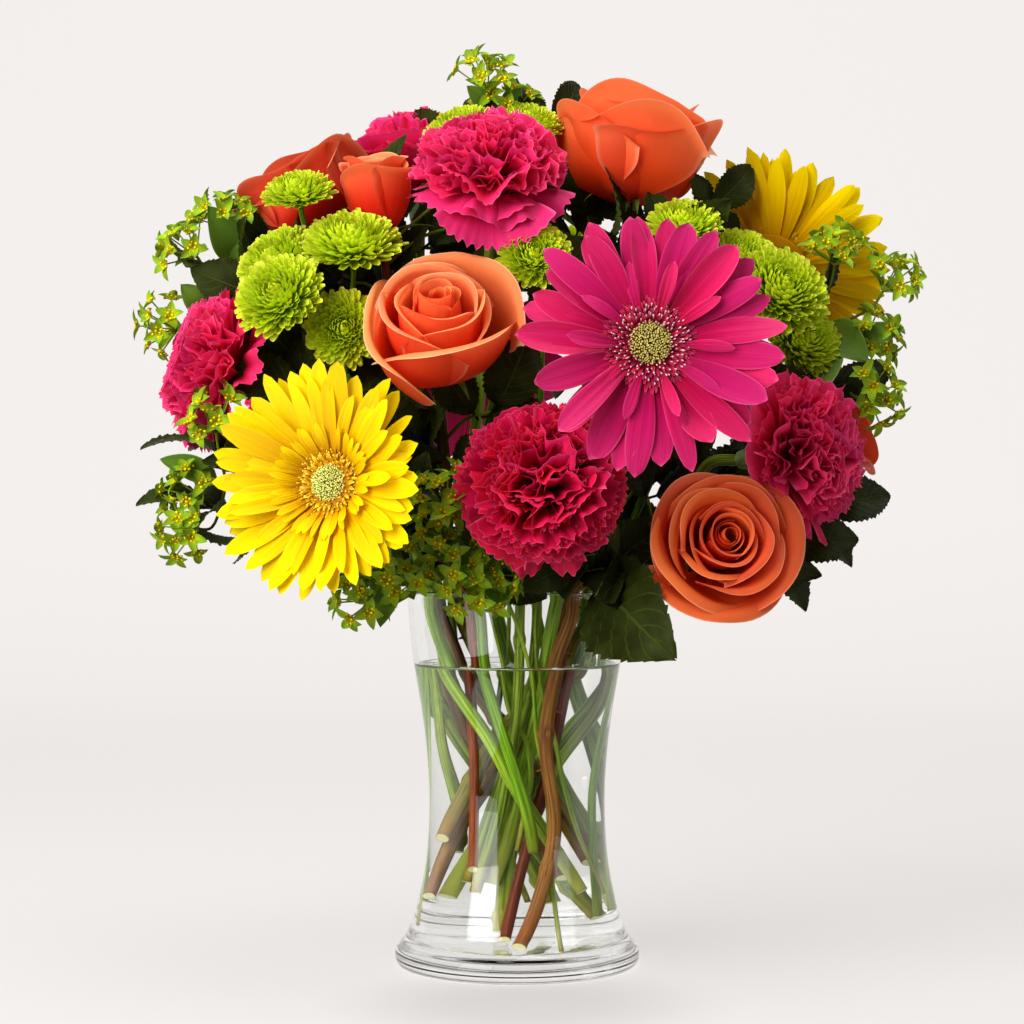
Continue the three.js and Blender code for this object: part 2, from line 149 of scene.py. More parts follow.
def paper_glow(material, shader):
    """The paper's own glow grows from near to far behind the vase. The flowers get only a
    part of it, and a mirror image of the paper's front is dark."""
    tree = material.node_tree
    place = wire(tree, "TexCoord", {}).outputs["Object"]
    behind = wire(tree, "SeparateXYZ", {"Vector": place}).outputs["Y"]
    path = wire(tree, "LightPath", {}).outputs
    mirrored = worked(tree, "GREATER_THAN", path["Glossy Depth"], 0.5)
    mirrored = worked(tree, "MULTIPLY", mirrored, ramp(tree, behind, DARK_FROM, DARK_TO))
    # The painted shadow in front of the foot: the glow falls off in a round patch there.
    away = wire(tree, "VectorMath", {0: place, 1: FOOT_SHADE_MIDDLE}, operation="DISTANCE")
    shade = ramp(
        tree, away.outputs["Value"], FOOT_SHADE_FROM, FOOT_SHADE_TO, FOOT_SHADE, 1.0,
        interpolation_type="SMOOTHSTEP",
    )
    glow = ramp(tree, behind, GLOW_FROM, GLOW_TO, GLOW_NEAR, GLOW_FAR)
    on_flowers = ramp(tree, path["Is Diffuse Ray"], 0.0, 1.0, 1.0, GLOW_ON_FLOWERS)
    for part in (on_flowers, worked(tree, "SUBTRACT", 1.0, mirrored), shade):
        glow = worked(tree, "MULTIPLY", glow, part)
    surface = mixed(tree, mirrored, PAPER_COLOUR, (0, 0, 0, 1))
    tree.links.new(surface, shader.inputs["Base Color"])
    tree.links.new(glow, shader.inputs["Emission Strength"])
    material.cycles.emission_sampling = "NONE"


paper = put_mesh("studio_paper", *sweep_paper())
paper_material, paper_shader = new_material("studio_paper", {
    "Roughness": 0.9, "Specular IOR Level": 0.0, "Emission Color": (0.90, 0.862, 0.838, 1),
})
paper_glow(paper_material, paper_shader)
paper.data.materials.append(paper_material)


def soft_light(name, place, aim, size, power):
    """A rectangular soft box of a power in watts at a place, turned so that it faces its aim."""
    lamp = bpy.data.lights.new(name, "AREA")
    lamp.shape = "RECTANGLE"
    lamp.size, lamp.size_y = size
    lamp.energy = power
    thing = bpy.data.objects.new(name, lamp)
    toward = np.array(aim, float) - np.array(place, float)
    yaw = np.arctan2(toward[0], -toward[1])
    pitch = np.arctan2(np.hypot(toward[0], toward[1]), -toward[2])
    thing.location = place
    thing.rotation_euler = (pitch, 0, yaw + np.pi)
    thing.visible_camera = False
    bpy.context.scene.collection.objects.link(thing)
    return thing


# The large soft box lights the petals, but it leaves no white patch in the glass.
BOUQUET_MIDDLE = (0, 0, 0.28)
key_light = soft_light("key_soft_box", (-0.86, -0.98, 0.86), BOUQUET_MIDDLE, (1.0, 1.6), 40)
key_light.visible_glossy = False
soft_light("top_soft_box", (0.25, -0.2, 1.6), BOUQUET_MIDDLE, (1.2, 1.2), 14)
soft_light("right_soft_box", (1.5, -0.9, 0.6), BOUQUET_MIDDLE, (0.7, 1.4), 4)
# Two white cards that only show as the tall pale stripe mirrored in the glass.
for card, place, aim, size, power in (
    ("upright_card", (-0.36, -0.44, 0.20), (0, 0, 0.14), (0.30, 0.40), 0.8),
    ("lying_card", (-0.22, -0.27, 0.002), (-0.22, -0.27, 1.0), (0.20, 0.20), 0.1),
):
    soft_light(card, place, aim, size, power).visible_diffuse = False

# The air is pale where it is looked at. As light, and in mirror images, it is dark in front
# of the vase and grows bright behind it.
AIR_COLOUR = (1.0, 0.975, 0.955, 1)
AIR_SEEN = 0.86
world = bpy.data.worlds.new("studio_air")
world.use_nodes = True
air = world.node_tree
direction = wire(air, "TexCoord", {}).outputs["Generated"]
direction = wire(air, "SeparateXYZ", {"Vector": direction}).outputs["Y"]
air_path = wire(air, "LightPath", {}).outputs
bounced = worked(air, "ADD", air_path["Glossy Depth"], air_path["Is Diffuse Ray"])
bounced = worked(air, "GREATER_THAN", bounced, 0.5)
air_light = ramp(air, direction, -0.7, 0.5, 0.05, 0.45)
strength = wire(air, "Mix", {0: bounced, 2: AIR_SEEN, 3: air_light}, data_type="FLOAT").outputs[0]
air.nodes["Background"].inputs["Color"].default_value = AIR_COLOUR
air.links.new(strength, air.nodes["Background"].inputs["Strength"])
world.cycles.sampling_method = "NONE"
bpy.context.scene.world = world

camera_data = bpy.data.cameras.new("front_view")
camera_data.lens = FILM_WIDTH * VIEW_DISTANCE / FRAME_WIDTH_AT_VASE
camera_data.sensor_width = FILM_WIDTH
camera = bpy.data.objects.new("front_view", camera_data)
camera.location = (VIEW_SIDE, -VIEW_DISTANCE, VIEW_HEIGHT)
camera.rotation_euler = (np.pi / 2, 0, 0)
bpy.context.scene.collection.objects.link(camera)
bpy.context.scene.camera = camera
bpy.context.scene.view_settings.view_transform = "Standard"
# Light crosses the glass and the water on both sides of the stems, so it needs many bounces.
bpy.context.scene.cycles.use_denoising = True
bpy.context.scene.cycles.max_bounces = 20
bpy.context.scene.cycles.transmission_bounces = 16
bpy.context.scene.cycles.transparent_max_bounces = 16
bpy.context.scene.cycles.sample_clamp_indirect = 4.0

# ---------------------------------------------------------------------------
# The vase: one piece of clear soda-lime glass, pressed and fire polished. It
# stands on a thick rounded foot, narrows to a waist and opens to a thin rim.
# ---------------------------------------------------------------------------

VASE_HEIGHT = 195 * MM
RIM_RADIUS = 56.8 * MM
RIM_HALF_HEIGHT = 1.1 * MM
FLOOR_HEIGHT = 10 * MM
WALL_AT_BASE = 3.6 * MM
WALL_AT_RIM = 2.2 * MM
AROUND = 96

# Outer wall as (height, radius) from above the rounded foot to below the rim.
WALL_LINE = np.array([
    (15, 58.6), (25, 54), (38, 50.4), (58, 47), (84, 45.6),
    (108, 46.6), (132, 49.4), (156, 53.4), (176, 55.8), (193.9, 56.8),
]) * MM


def smooth_line(points, steps, even=False):
    """Centripetal Catmull-Rom curve through the points, as (steps + 1, 3) places."""
    points = np.asarray(points, float)
    ends = (2 * points[0] - points[1], 2 * points[-1] - points[-2])
    padded = np.vstack([ends[0], points, ends[1]])
    gaps = np.maximum(np.linalg.norm(np.diff(padded, axis=0), axis=1) ** 0.5, 1e-9)[:, None]
    slope = (
        np.diff(padded, axis=0)[:-1] / gaps[:-1]
        - (padded[2:] - padded[:-2]) / (gaps[:-1] + gaps[1:])
        + np.diff(padded, axis=0)[1:] / gaps[1:]
    )
    at = np.linspace(0, len(points) - 1, steps + 1)
    if even:
        fine = smooth_line(points, 20 * steps)
        run = np.concatenate([[0], np.cumsum(np.linalg.norm(np.diff(fine, axis=0), axis=1))])
        at = np.interp(np.linspace(0, run[-1], steps + 1), run, np.linspace(0, len(points) - 1, len(run)))
    span = np.minimum(at.astype(int), len(points) - 2)
    t = (at - span)[:, None]
    gap = gaps[1:-1][span]
    return (
        points[span] * (2 * t**3 - 3 * t**2 + 1)
        + slope[span] * gap * (t**3 - 2 * t**2 + t)
        + points[span + 1] * (3 * t**2 - 2 * t**3)
        + slope[span + 1] * gap * (t**3 - t**2)
    )


wall = smooth_line(WALL_LINE, 60)[:, ::-1]


def wall_thickness(height):
    """Thicker at the floor, thinning evenly to the rim's thickness half way up."""
    up = np.clip((height - FLOOR_HEIGHT) / (VASE_HEIGHT / 2), 0, 1)
    return WALL_AT_BASE + (WALL_AT_RIM - WALL_AT_BASE) * up


def inner_wall(top, outward=0.0):
    """(radius, height) from the floor's rounded corner up the inner wall to a height."""
    corner = np.array([(40, 10), (46, 10.15), (49.2, 10.9), (50.6, 12.4), (51, 14.5)]) * MM
    corner = smooth_line(corner, 12)
    side = wall[(wall[:, 1] > FLOOR_HEIGHT + 9 * MM) & (wall[:, 1] < top)]
    side = np.stack([side[:, 0] - wall_thickness(side[:, 1]), side[:, 1]], axis=1)
    line = np.vstack([corner, side])
    return line + [outward, 0]


def spokes(count, shift=0.0):
    """Evenly spaced angles around a circle, from a share of one step."""
    return 2 * np.pi * (np.arange(count) + shift) / count


def turned(profile, around):
    """Profile of (radius, height) rows turned around Z: x = r cos a, y = r sin a, z = h."""
    angle = spokes(around)
    radius, height = profile[:, 0][:, None], profile[:, 1][:, None]
    return np.stack([radius * np.cos(angle), radius * np.sin(angle), height + 0 * angle], axis=-1)


def ring_quads(rows, around):
    """Corners of the quads between neighbouring rings of a turned surface."""
    row = np.arange(rows - 1)[:, None] * around
    col = np.arange(around)[None, :]
    nxt = (col + 1) % around
    return np.stack(
        [row + col, row + nxt, row + around + nxt, row + around + col], axis=-1
    ).reshape(-1, 4)


def add_turned(name, profile, around):
    """A closed turned solid; its first and last rings are tiny discs on the axis."""
    places = turned(profile, around)
    return put_mesh(name, places.reshape(-1, 3), ring_quads(len(places), around))


AXIS = 1e-6
foot = smooth_line(
    np.array([(57, 0), (60.9, 1.0), (62.9, 3.4), (63.5, 6.4), (62.5, 10.4), (60.4, 13)]) * MM, 24
)
over = np.linspace(0.2, np.pi - 0.2, 9)
rim = RIM_RADIUS - WALL_AT_RIM / 2 + WALL_AT_RIM / 2 * np.cos(over)
rim_height = VASE_HEIGHT - RIM_HALF_HEIGHT + RIM_HALF_HEIGHT * np.sin(over)
vase_profile = np.vstack([
    [(AXIS, 0.6 * MM), (48 * MM, 0.6 * MM), (52 * MM, 0)],
    foot,
    wall[1:],
    np.stack([rim, rim_height], axis=1),
    inner_wall(VASE_HEIGHT - 2 * MM)[::-1],
    [(20 * MM, FLOOR_HEIGHT), (AXIS, FLOOR_HEIGHT)],
])
vase = add_turned("vase_body", vase_profile, AROUND)



def light_passes(material, shader, tint):
    """Shadow rays go straight through, weakly tinted, so what is inside stays lit."""
    tree = material.node_tree
    shadow = wire(tree, "LightPath", {}).outputs["Is Shadow Ray"]
    clear = wire(tree, "BsdfTransparent", {"Color": tint}).outputs["BSDF"]
    mix = wire(tree, "MixShader", {0: shadow, 1: shader.outputs["BSDF"], 2: clear})
    tree.links.new(mix.outputs["Shader"], tree.nodes["Material Output"].inputs["Surface"])


def glass_ripple(material, shader, scale, strength, distance):
    """Faint waves left by the mould: a slow noise on Object coordinates drives a bump."""
    tree = material.node_tree
    waves = noise(tree, wire(tree, "TexCoord", {}).outputs["Object"], scale, 1.0)
    bump = wire(tree, "Bump", {"Height": waves, "Strength": strength, "Distance": distance})
    tree.links.new(bump.outputs["Normal"], shader.inputs["Normal"])


glass_material, glass_shader = new_material("clear_glass", {
    "Base Color": (0.985, 0.995, 0.99, 1), "Roughness": 0.0, "IOR": 1.5, "Transmission Weight": 1.0,
})
glass_ripple(glass_material, glass_shader, 28.0, 0.06, 0.0006)
light_passes(glass_material, glass_shader, (0.97, 0.98, 0.975, 1))
vase.data.materials.append(glass_material)


def belongs(piece, node):
    """The piece rides on the vase's body and stands for a CAD node, whose own part it hides."""
    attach(piece, "root")
    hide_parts(node)


belongs(vase, "glass_vase")

# ---------------------------------------------------------------------------
# The water: still, clear, filled to four fifths. Its skin climbs the glass in
# a thin curved edge, and it lies against the inner wall with no air between.
# ---------------------------------------------------------------------------

WATER_HEIGHT = 156 * MM
INTO_GLASS = 0.08 * MM
CLIMB = 1.6 * MM

water_side = inner_wall(WATER_HEIGHT + CLIMB, INTO_GLASS)
brink_radius = water_side[-1, 0]
skin_radius = brink_radius - np.array([0, 0.5, 1.2, 2.2, 3.6, 6]) * MM
skin_height = WATER_HEIGHT + CLIMB * np.exp(-(brink_radius - skin_radius) / (1.1 * MM))
water_profile = np.vstack([
    [(AXIS, FLOOR_HEIGHT - INTO_GLASS), (20 * MM, FLOOR_HEIGHT - INTO_GLASS)],
    [(40 * MM, FLOOR_HEIGHT - INTO_GLASS)],
    water_side[1:],
    np.stack([skin_radius, skin_height], axis=1),
    [(20 * MM, WATER_HEIGHT), (AXIS, WATER_HEIGHT)],
])
water = add_turned("vase_water", water_profile, AROUND)
water_material, water_shader = new_material("still_water", {
    "Base Color": (0.992, 0.998, 0.995, 1), "Roughness": 0.0, "IOR": 1.333, "Transmission Weight": 1.0,
})
glass_ripple(water_material, water_shader, 60.0, 0.05, 0.0004)
light_passes(water_material, water_shader, (0.98, 0.99, 0.985, 1))
water.data.materials.append(water_material)
belongs(water, "water")

# ---------------------------------------------------------------------------
# Gerbera stems: leafless flower stalks, pale green and slightly ribbed, cut
# nearly straight at the foot and bent by the weight of the head.
# ---------------------------------------------------------------------------

GERBERA_NECK = 22
SEAT_GAP = 0.3
# Each line is given in millimetres from the cut end to the neck, then the seat
# of the head, the way the head looks, the stem's radius and the head's radius.
GERBERAS = {
    "gerbera_magenta": (
        [(-11, -6, 42), (-5, -8, 64), (3.5, -10, 108), (14, -20, 158), (21, -30, 195), (40, -78, 262)],
        (62, -118, 313), (0.02, -0.98, 0.12), 3.4, 62,
    ),
    "gerbera_yellow_left": (
        [(30, -20, 40), (16, -21.5, 65), (-2, -26, 98), (-12, -27, 119), (-34, -20, 157),
         (-43, -19, 182), (-45, -22, 198), (-60, -52, 230)],
        (-83, -110, 248), (-0.42, -0.9, 0.1), 3.2, 59,
    ),
    "gerbera_yellow_right": (
        [(-24, 20, 30), (-5, 28, 78), (5, 25, 100), (14, 24, 117), (33, 24, 157), (38, 31, 195),
         (92, 22, 300)],
        (131, 10, 359), (0.5, 0.64, 0.54), 3.1, 62,
    ),
    "gerbera_magenta_back": (
        [(33, 22, 24), (16.5, 32, 78), (-4, 40.5, 157), (-14, 45, 195), (-24, 82, 262)],
        (-26, 114, 316), (-0.25, 0.9, 0.36), 3.2, 60,
    ),
}


def unit(rows):
    """Each row divided by its length."""
    rows = np.asarray(rows, float)
    return rows / np.linalg.norm(rows, axis=-1, keepdims=True)


def stem_line(points, seat, facing, neck):
    """Curve through the points that comes up to the seat along the way the head looks."""
    seat, facing = np.array(seat, float), unit(facing)
    points = np.vstack([points, seat - facing * neck, seat - facing * SEAT_GAP]) * MM
    run = np.linalg.norm(np.diff(points, axis=0), axis=1).sum()
    return smooth_line(points, int(run / (3 * MM)), even=True)


CUT_MARK = -0.002


def tube(line, radius, sides, lobes=0.0, slant=0.0):
    """A closed rod: p + r (cos a s + sin a t), with s and t square to the line at p.

    lobes makes r swell and shrink five times around. The far end is a flat disc. The near
    end is cut at a slant that shows from the front: a point that lies n nearer to the front
    than the line is moved along it by slant (n + r). Returns vertices, quads and stem
    coordinates (r cos a, r sin a, way along), with CUT_MARK for the way on the cut face.
    """
    ahead = unit(np.gradient(line, axis=0))
    least = np.abs(ahead).max(axis=0).argmin()
    side = unit(np.eye(3)[least] - ahead[:, least : least + 1] * ahead)
    other = np.cross(ahead, side)
    radius = np.broadcast_to(radius, len(line)).astype(float)
    along = np.concatenate([[0], np.cumsum(np.linalg.norm(np.diff(line, axis=0), axis=1))])
    first, last = [0, 0, 0], [-1, -1, -1]
    shrink = np.array([1e-4, 0.9, 0.985])
    pick = np.r_[first, np.arange(len(line)), last]
    size = np.r_[radius[0] * shrink, radius, radius[-1] * shrink[::-1]][:, None]
    angle = spokes(sides)
    size = size * (1 + lobes * np.cos(5 * angle))
    round_x, round_y = size * np.cos(angle), size * np.sin(angle)
    places = line[pick][:, None] + side[pick][:, None] * round_x[..., None]
    places = places + other[pick][:, None] * round_y[..., None]
    cut = np.r_[1.0, 1.0, 1.0, np.clip(1 - along / (2.5 * radius[0]), 0, 1), 0, 0, 0]
    nearer = -(side[0, 1] * round_x + other[0, 1] * round_y)
    moved = slant * cut[:, None] * (nearer + radius[0])
    places = places + ahead[pick][:, None] * moved[..., None]
    marks = np.stack([round_x, round_y, along[pick][:, None] + 0 * round_x], axis=-1)
    marks[:2, :, 2] = CUT_MARK
    return places.reshape(-1, 3), ring_quads(len(pick), sides), marks.reshape(-1, 3)


def joined(parts):
    """Several (vertices, quads, marks) sets as one."""
    start = np.cumsum([0] + [len(part[0]) for part in parts[:-1]])
    return (
        np.vstack([part[0] for part in parts]),
        np.vstack([part[1] + first for part, first in zip(parts, start)]),
        np.vstack([part[2] for part in parts]),
    )


def add_marked(name, part, mark_name, material, node):
    """A piece with one vector per vertex that its material reads, for one CAD node."""
    vertices, quads, marks = part
    piece = put_mesh(name, vertices, quads)
    layer = piece.data.attributes.new(mark_name, "FLOAT_VECTOR", "POINT")
    layer.data.foreach_set("vector", np.ascontiguousarray(marks, np.float32).ravel())
    piece.data.materials.append(material)
    belongs(piece, node)


def new_group(name, inputs, outputs):
    """An empty node group with typed inputs and outputs, each (name, socket type)."""
    group = bpy.data.node_groups.new(name, "ShaderNodeTree")
    for label, kind in inputs:
        group.interface.new_socket(label, in_out="INPUT", socket_type="NodeSocket" + kind)
    for label, kind in outputs:
        group.interface.new_socket(label, in_out="OUTPUT", socket_type="NodeSocket" + kind)
    return group, group.nodes.new("NodeGroupInput").outputs, group.nodes.new("NodeGroupOutput").inputs


def stem_skin_group():
    """Skin of a stem: streaks along it, blotches, a tint towards its foot and fine ribs."""
    group, given, out = new_group(
        "stem_skin",
        [("Light", "Color"), ("Dark", "Color"), ("Foot", "Color"), ("Foot Length", "Float"),
         ("Blotches", "Float"), ("Cut", "Color")],
        [("Color", "Color"), ("Height", "Float")],
    )
    mark = wire(group, "Attribute", {}, attribute_name="stem").outputs["Vector"]
    stretched = wire(group, "Mapping", {"Vector": mark, "Scale": (900, 900, 26)}).outputs[0]
    streak = noise(group, stretched, 1.0, 3.0)
    blotch = noise(group, wire(group, "TexCoord", {}).outputs["Object"], 55.0, 4.0)
    up = wire(group, "SeparateXYZ", {"Vector": mark}).outputs["Z"]
    skin = mixed(group, ramp(group, streak, 0.38, 0.62), given["Light"], given["Dark"])
    skin = mixed(group, ramp(group, up, 0.0, given["Foot Length"], 1.0, 0.0), skin, given["Foot"])
    spots = worked(group, "MULTIPLY", ramp(group, blotch, 0.52, 0.7), given["Blotches"])
    skin = mixed(group, spots, skin, given["Foot"])
    skin = mixed(group, ramp(group, up, 0.1 * CUT_MARK, 0.5 * CUT_MARK), skin, given["Cut"])
    group.links.new(skin, out["Color"])
    group.links.new(streak, out["Height"])
    return group


STEM_SKIN = stem_skin_group()
CUT_COLOUR = (0.62, 0.60, 0.30)


def stem_material(name, light, dark, foot, foot_length, blotches=0.0, roughness=0.42):
    """Fresh stem skin in two greens, another colour at the foot, and fine lengthwise ribs."""
    material, shader = new_material(name, {"Roughness": roughness, "Specular IOR Level": 0.12})
    tree = material.node_tree
    skin = wire(tree, "Group", {}, node_tree=STEM_SKIN)
    for key, value in zip(("Light", "Dark", "Foot", "Cut"), (light, dark, foot, CUT_COLOUR)):
        skin.inputs[key].default_value = (*value, 1)
    skin.inputs["Foot Length"].default_value = foot_length
    skin.inputs["Blotches"].default_value = blotches
    bump = wire(tree, "Bump", {"Height": skin.outputs["Height"], "Strength": 0.35, "Distance": 0.0004})
    tree.links.new(skin.outputs["Color"], shader.inputs["Base Color"])
    tree.links.new(bump.outputs["Normal"], shader.inputs["Normal"])
    return material


gerbera_stem_skin = stem_material(
    "gerbera_stem", (0.24, 0.36, 0.018), (0.06, 0.13, 0.006), (0.30, 0.30, 0.04), 0.05
)
for name, (points, seat, facing, radius, _) in GERBERAS.items():
    line = stem_line(points, seat, facing, GERBERA_NECK)
    part = tube(line, radius * MM, 20, lobes=0.03, slant=0.25)
    add_marked(name + "_stalk", part, "stem", gerbera_stem_skin, name + "_stem")

# ---------------------------------------------------------------------------
# Gerbera heads: strap-shaped ray florets in several layers around a disc
# of hundreds of tiny florets, all seated in a green cup of narrow bracts.
# ---------------------------------------------------------------------------

GOLDEN_ANGLE = np.pi * (3 - 5**0.5)


def blades(azimuth, root, length, width, outline, pitch, channel, cols,
           ridge=0.0, twist=0.0, sway=0.0, ruffle=0.0):
    """Strap-shaped sheets that leave an axis like spokes, as (blade, row, column, 3) places.

    The midline starts at root, (distance from the axis, height), and climbs at the angle
    pitch(u). The point v across it lies half the width times outline(u) to the side. It is
    lifted by channel v v and by ridge cos 3 pi v, twist turns the crossline about the
    midline, sway bends the midline sideways by its square, and ruffle waves the edges.
    """
    def spread(value):
        return np.broadcast_to(np.asarray(value, float).reshape(-1, 1, 1), (len(azimuth), 1, 1))

    rows = len(outline)
    u = np.linspace(0, 1, rows)[None, :, None]
    v = np.linspace(-1, 1, cols)[None, None, :]
    length, half = spread(length), spread(width) / 2
    pitch = np.broadcast_to(pitch, (len(azimuth), rows))
    middle = (pitch[:, 1:] + pitch[:, :-1]) / 2
    step = length[:, :, 0] / (rows - 1)
    root = np.broadcast_to(root, (len(azimuth), 2))
    out = root[:, :1] + np.pad(np.cumsum(np.cos(middle) * step, axis=1), ((0, 0), (1, 0)))
    up = root[:, 1:] + np.pad(np.cumsum(np.sin(middle) * step, axis=1), ((0, 0), (1, 0)))
    outline = np.asarray(outline, float)[None, :, None]
    pitch = pitch[..., None]
    turn = spread(twist) * u
    aside = half * outline * v
    lift = spread(channel) * half * outline * v**2
    lift = lift + spread(ridge) * np.cos(3 * np.pi * v) * np.sin(np.pi * u**0.7) * (1 - 0.3 * v**2)
    phase = azimuth[:, None, None] * 7
    lift = lift + spread(ruffle) * half * u * np.abs(v) ** 3 * np.sin(9 * u + phase + 2 * v)
    radial = out[..., None] - np.sin(pitch) * (aside * np.sin(turn) + lift * np.cos(turn))
    height = up[..., None] + np.cos(pitch) * (aside * np.sin(turn) + lift * np.cos(turn))
    across = spread(sway) * length * u**2 + aside * np.cos(turn) - lift * np.sin(turn)
    cos, sin = np.cos(azimuth)[:, None, None], np.sin(azimuth)[:, None, None]
    return np.stack([radial * cos - across * sin, radial * sin + across * cos, height + 0 * v], -1)


def sheets(places, tone):
    """Vertices, quads and petal coordinates (across, along, tone) of many equal sheets."""
    count, rows, cols = places.shape[:3]
    at = np.arange(count * rows * cols).reshape(count, rows, cols)
    corners = [at[:, :-1, :-1], at[:, :-1, 1:], at[:, 1:, 1:], at[:, 1:, :-1]]
    quads = np.stack([corners[0], corners[3], corners[2], corners[1]], axis=-1).reshape(-1, 4)
    marks = np.stack(np.broadcast_arrays(
        np.linspace(-1, 1, cols)[None, None, :],
        np.linspace(0, 1, rows)[None, :, None],
        np.asarray(tone, float)[:, None, None],
    ), axis=-1)
    return places.reshape(-1, 3), quads, marks.reshape(-1, 3)


def knobs(place, toward, length, radius, shape, tone, sides=5):
    """Small closed rods from a place along a direction; shape is rows of (along, radius)."""
    count = len(place)
    toward = unit(toward)
    side = unit(np.cross(toward, np.array([0.3, 0.2, 0.9])) + 1e-9)
    other = np.cross(toward, side)
    angle = spokes(sides)
    shape = np.asarray(shape, float)
    length = np.broadcast_to(length, count)[:, None, None, None]
    radius = np.broadcast_to(radius, count)[:, None, None, None]
    rod = place[:, None, None] + toward[:, None, None] * length * shape[None, :, None, :1]
    ring = side[:, None, None] * np.cos(angle)[:, None] + other[:, None, None] * np.sin(angle)[:, None]
    rod = rod + ring * radius * shape[None, :, None, 1:]
    one = ring_quads(len(shape), sides)
    quads = (one[None] + (np.arange(count) * len(shape) * sides)[:, None, None]).reshape(-1, 4)
    marks = np.stack(np.broadcast_arrays(
        np.zeros((1, 1, sides)), shape[None, :, :1], np.asarray(tone, float)[:, None, None],
    ), axis=-1)
    return rod.reshape(-1, 3), quads, marks.reshape(-1, 3)


def turned_to(facing, spin=0.0):
    """Rows that turn a head made around +Z so that +Z looks the given way."""
    toward = unit(facing)
    side = unit(np.cross([0, 0, 1] if abs(toward[2]) < 0.95 else [0, 1, 0], toward))
    other = np.cross(toward, side)
    cos, sin = np.cos(spin), np.sin(spin)
    return np.array([cos * side + sin * other, cos * other - sin * side, toward])


def placed(part, place, facing, spin=0.0):
    """The part, made around +Z, turned to its facing and moved to its place."""
    vertices, quads, marks = part
    return vertices @ turned_to(facing, spin) + np.array(place), quads, marks


def in_metres(part):
    """The part with its millimetres turned into metres."""
    return (part[0] * MM, *part[1:])


def seated(part, seat, facing, spin=0.0):
    """The part, made in millimetres around +Z, turned to its facing and moved to its seat."""
    return in_metres(placed(part, seat, facing, spin))


def turned_part(profile, around, mark):
    """A turned solid that is part of a piece, with the same petal coordinates all over."""
    places = turned(np.array(profile, float), around).reshape(-1, 3)
    return places, ring_quads(len(profile), around), np.tile(mark, (len(places), 1))


def petal_place(tree):
    """Across (-1 to 1), along (0 to 1) and tone, as a sheet carries them on each vertex."""
    mark = wire(tree, "Attribute", {}, attribute_name="petal").outputs["Vector"]
    return wire(tree, "SeparateXYZ", {"Vector": mark}).outputs


HALF_WAY = 0.45
PETAL_RELIEF = 0.5 * MM


def petal_skin_group():
    """Petal colours: base to tip, edges, veins along the petal, petal to petal change."""
    group, given, out = new_group(
        "petal_skin",
        [("Base", "Color"), ("Middle", "Color"), ("Tip", "Color"), ("Edge", "Color"),
         ("Edge Width", "Float"), ("Veins", "Float"), ("Vein Scale", "Float"),
         ("Variation", "Float")],
        [("Color", "Color"), ("Height", "Float")],
    )
    across, along, tone = petal_place(group)
    skin = mixed(group, ramp(group, along, 0.0, HALF_WAY), given["Base"], given["Middle"])
    skin = mixed(group, ramp(group, along, HALF_WAY, 1.0), skin, given["Tip"])
    # The edge is near where either the crosswise or the lengthwise place nears one.
    near_tip = worked(group, "POWER", along, 3.0)
    near_edge = worked(group, "MAXIMUM", worked(group, "ABSOLUTE", across), near_tip)
    start = worked(group, "SUBTRACT", 1.0, given["Edge Width"])
    edge = worked(group, "MULTIPLY", ramp(group, near_edge, start, 1.0), along)
    skin = mixed(group, edge, skin, given["Edge"])
    # Veins: noise squeezed across the petal and stretched along it, unlike on each petal.
    squeezed = wire(group, "CombineXYZ", {
        0: worked(group, "MULTIPLY", across, given["Vein Scale"]),
        1: worked(group, "MULTIPLY", along, 1.3),
        2: worked(group, "MULTIPLY", tone, 37.0),
    }).outputs[0]
    vein = noise(group, squeezed, 1.0, 2.5)
    depth = worked(group, "MULTIPLY", ramp(group, vein, 0.3, 0.7), given["Veins"])
    # Each petal is a little lighter or darker, and a little to one side in hue.
    tint = worked(group, "MULTIPLY", worked(group, "SUBTRACT", tone, 0.5), given["Variation"])
    value = worked(
        group, "MULTIPLY", ramp(group, depth, 0.0, 1.0, 1.0, 0.55), worked(group, "ADD", tint, 1.0)
    )
    hue = ramp(group, tone, 0.0, 1.0, 0.493, 0.507)
    skin = wire(group, "HueSaturation", {"Color": skin, "Value": value, "Hue": hue}).outputs[0]
    group.links.new(skin, out["Color"])
    group.links.new(vein, out["Height"])
    return group


PETAL_SKIN = petal_skin_group()


def lit_through(tree, shader, share, inputs):
    """The shader mixed with a share of light that comes through a thin petal or leaf."""
    through = wire(tree, "BsdfTranslucent", inputs).outputs["BSDF"]
    mix = wire(tree, "MixShader", {0: share, 1: shader.outputs["BSDF"], 2: through})
    tree.links.new(mix.outputs["Shader"], tree.nodes["Material Output"].inputs["Surface"])


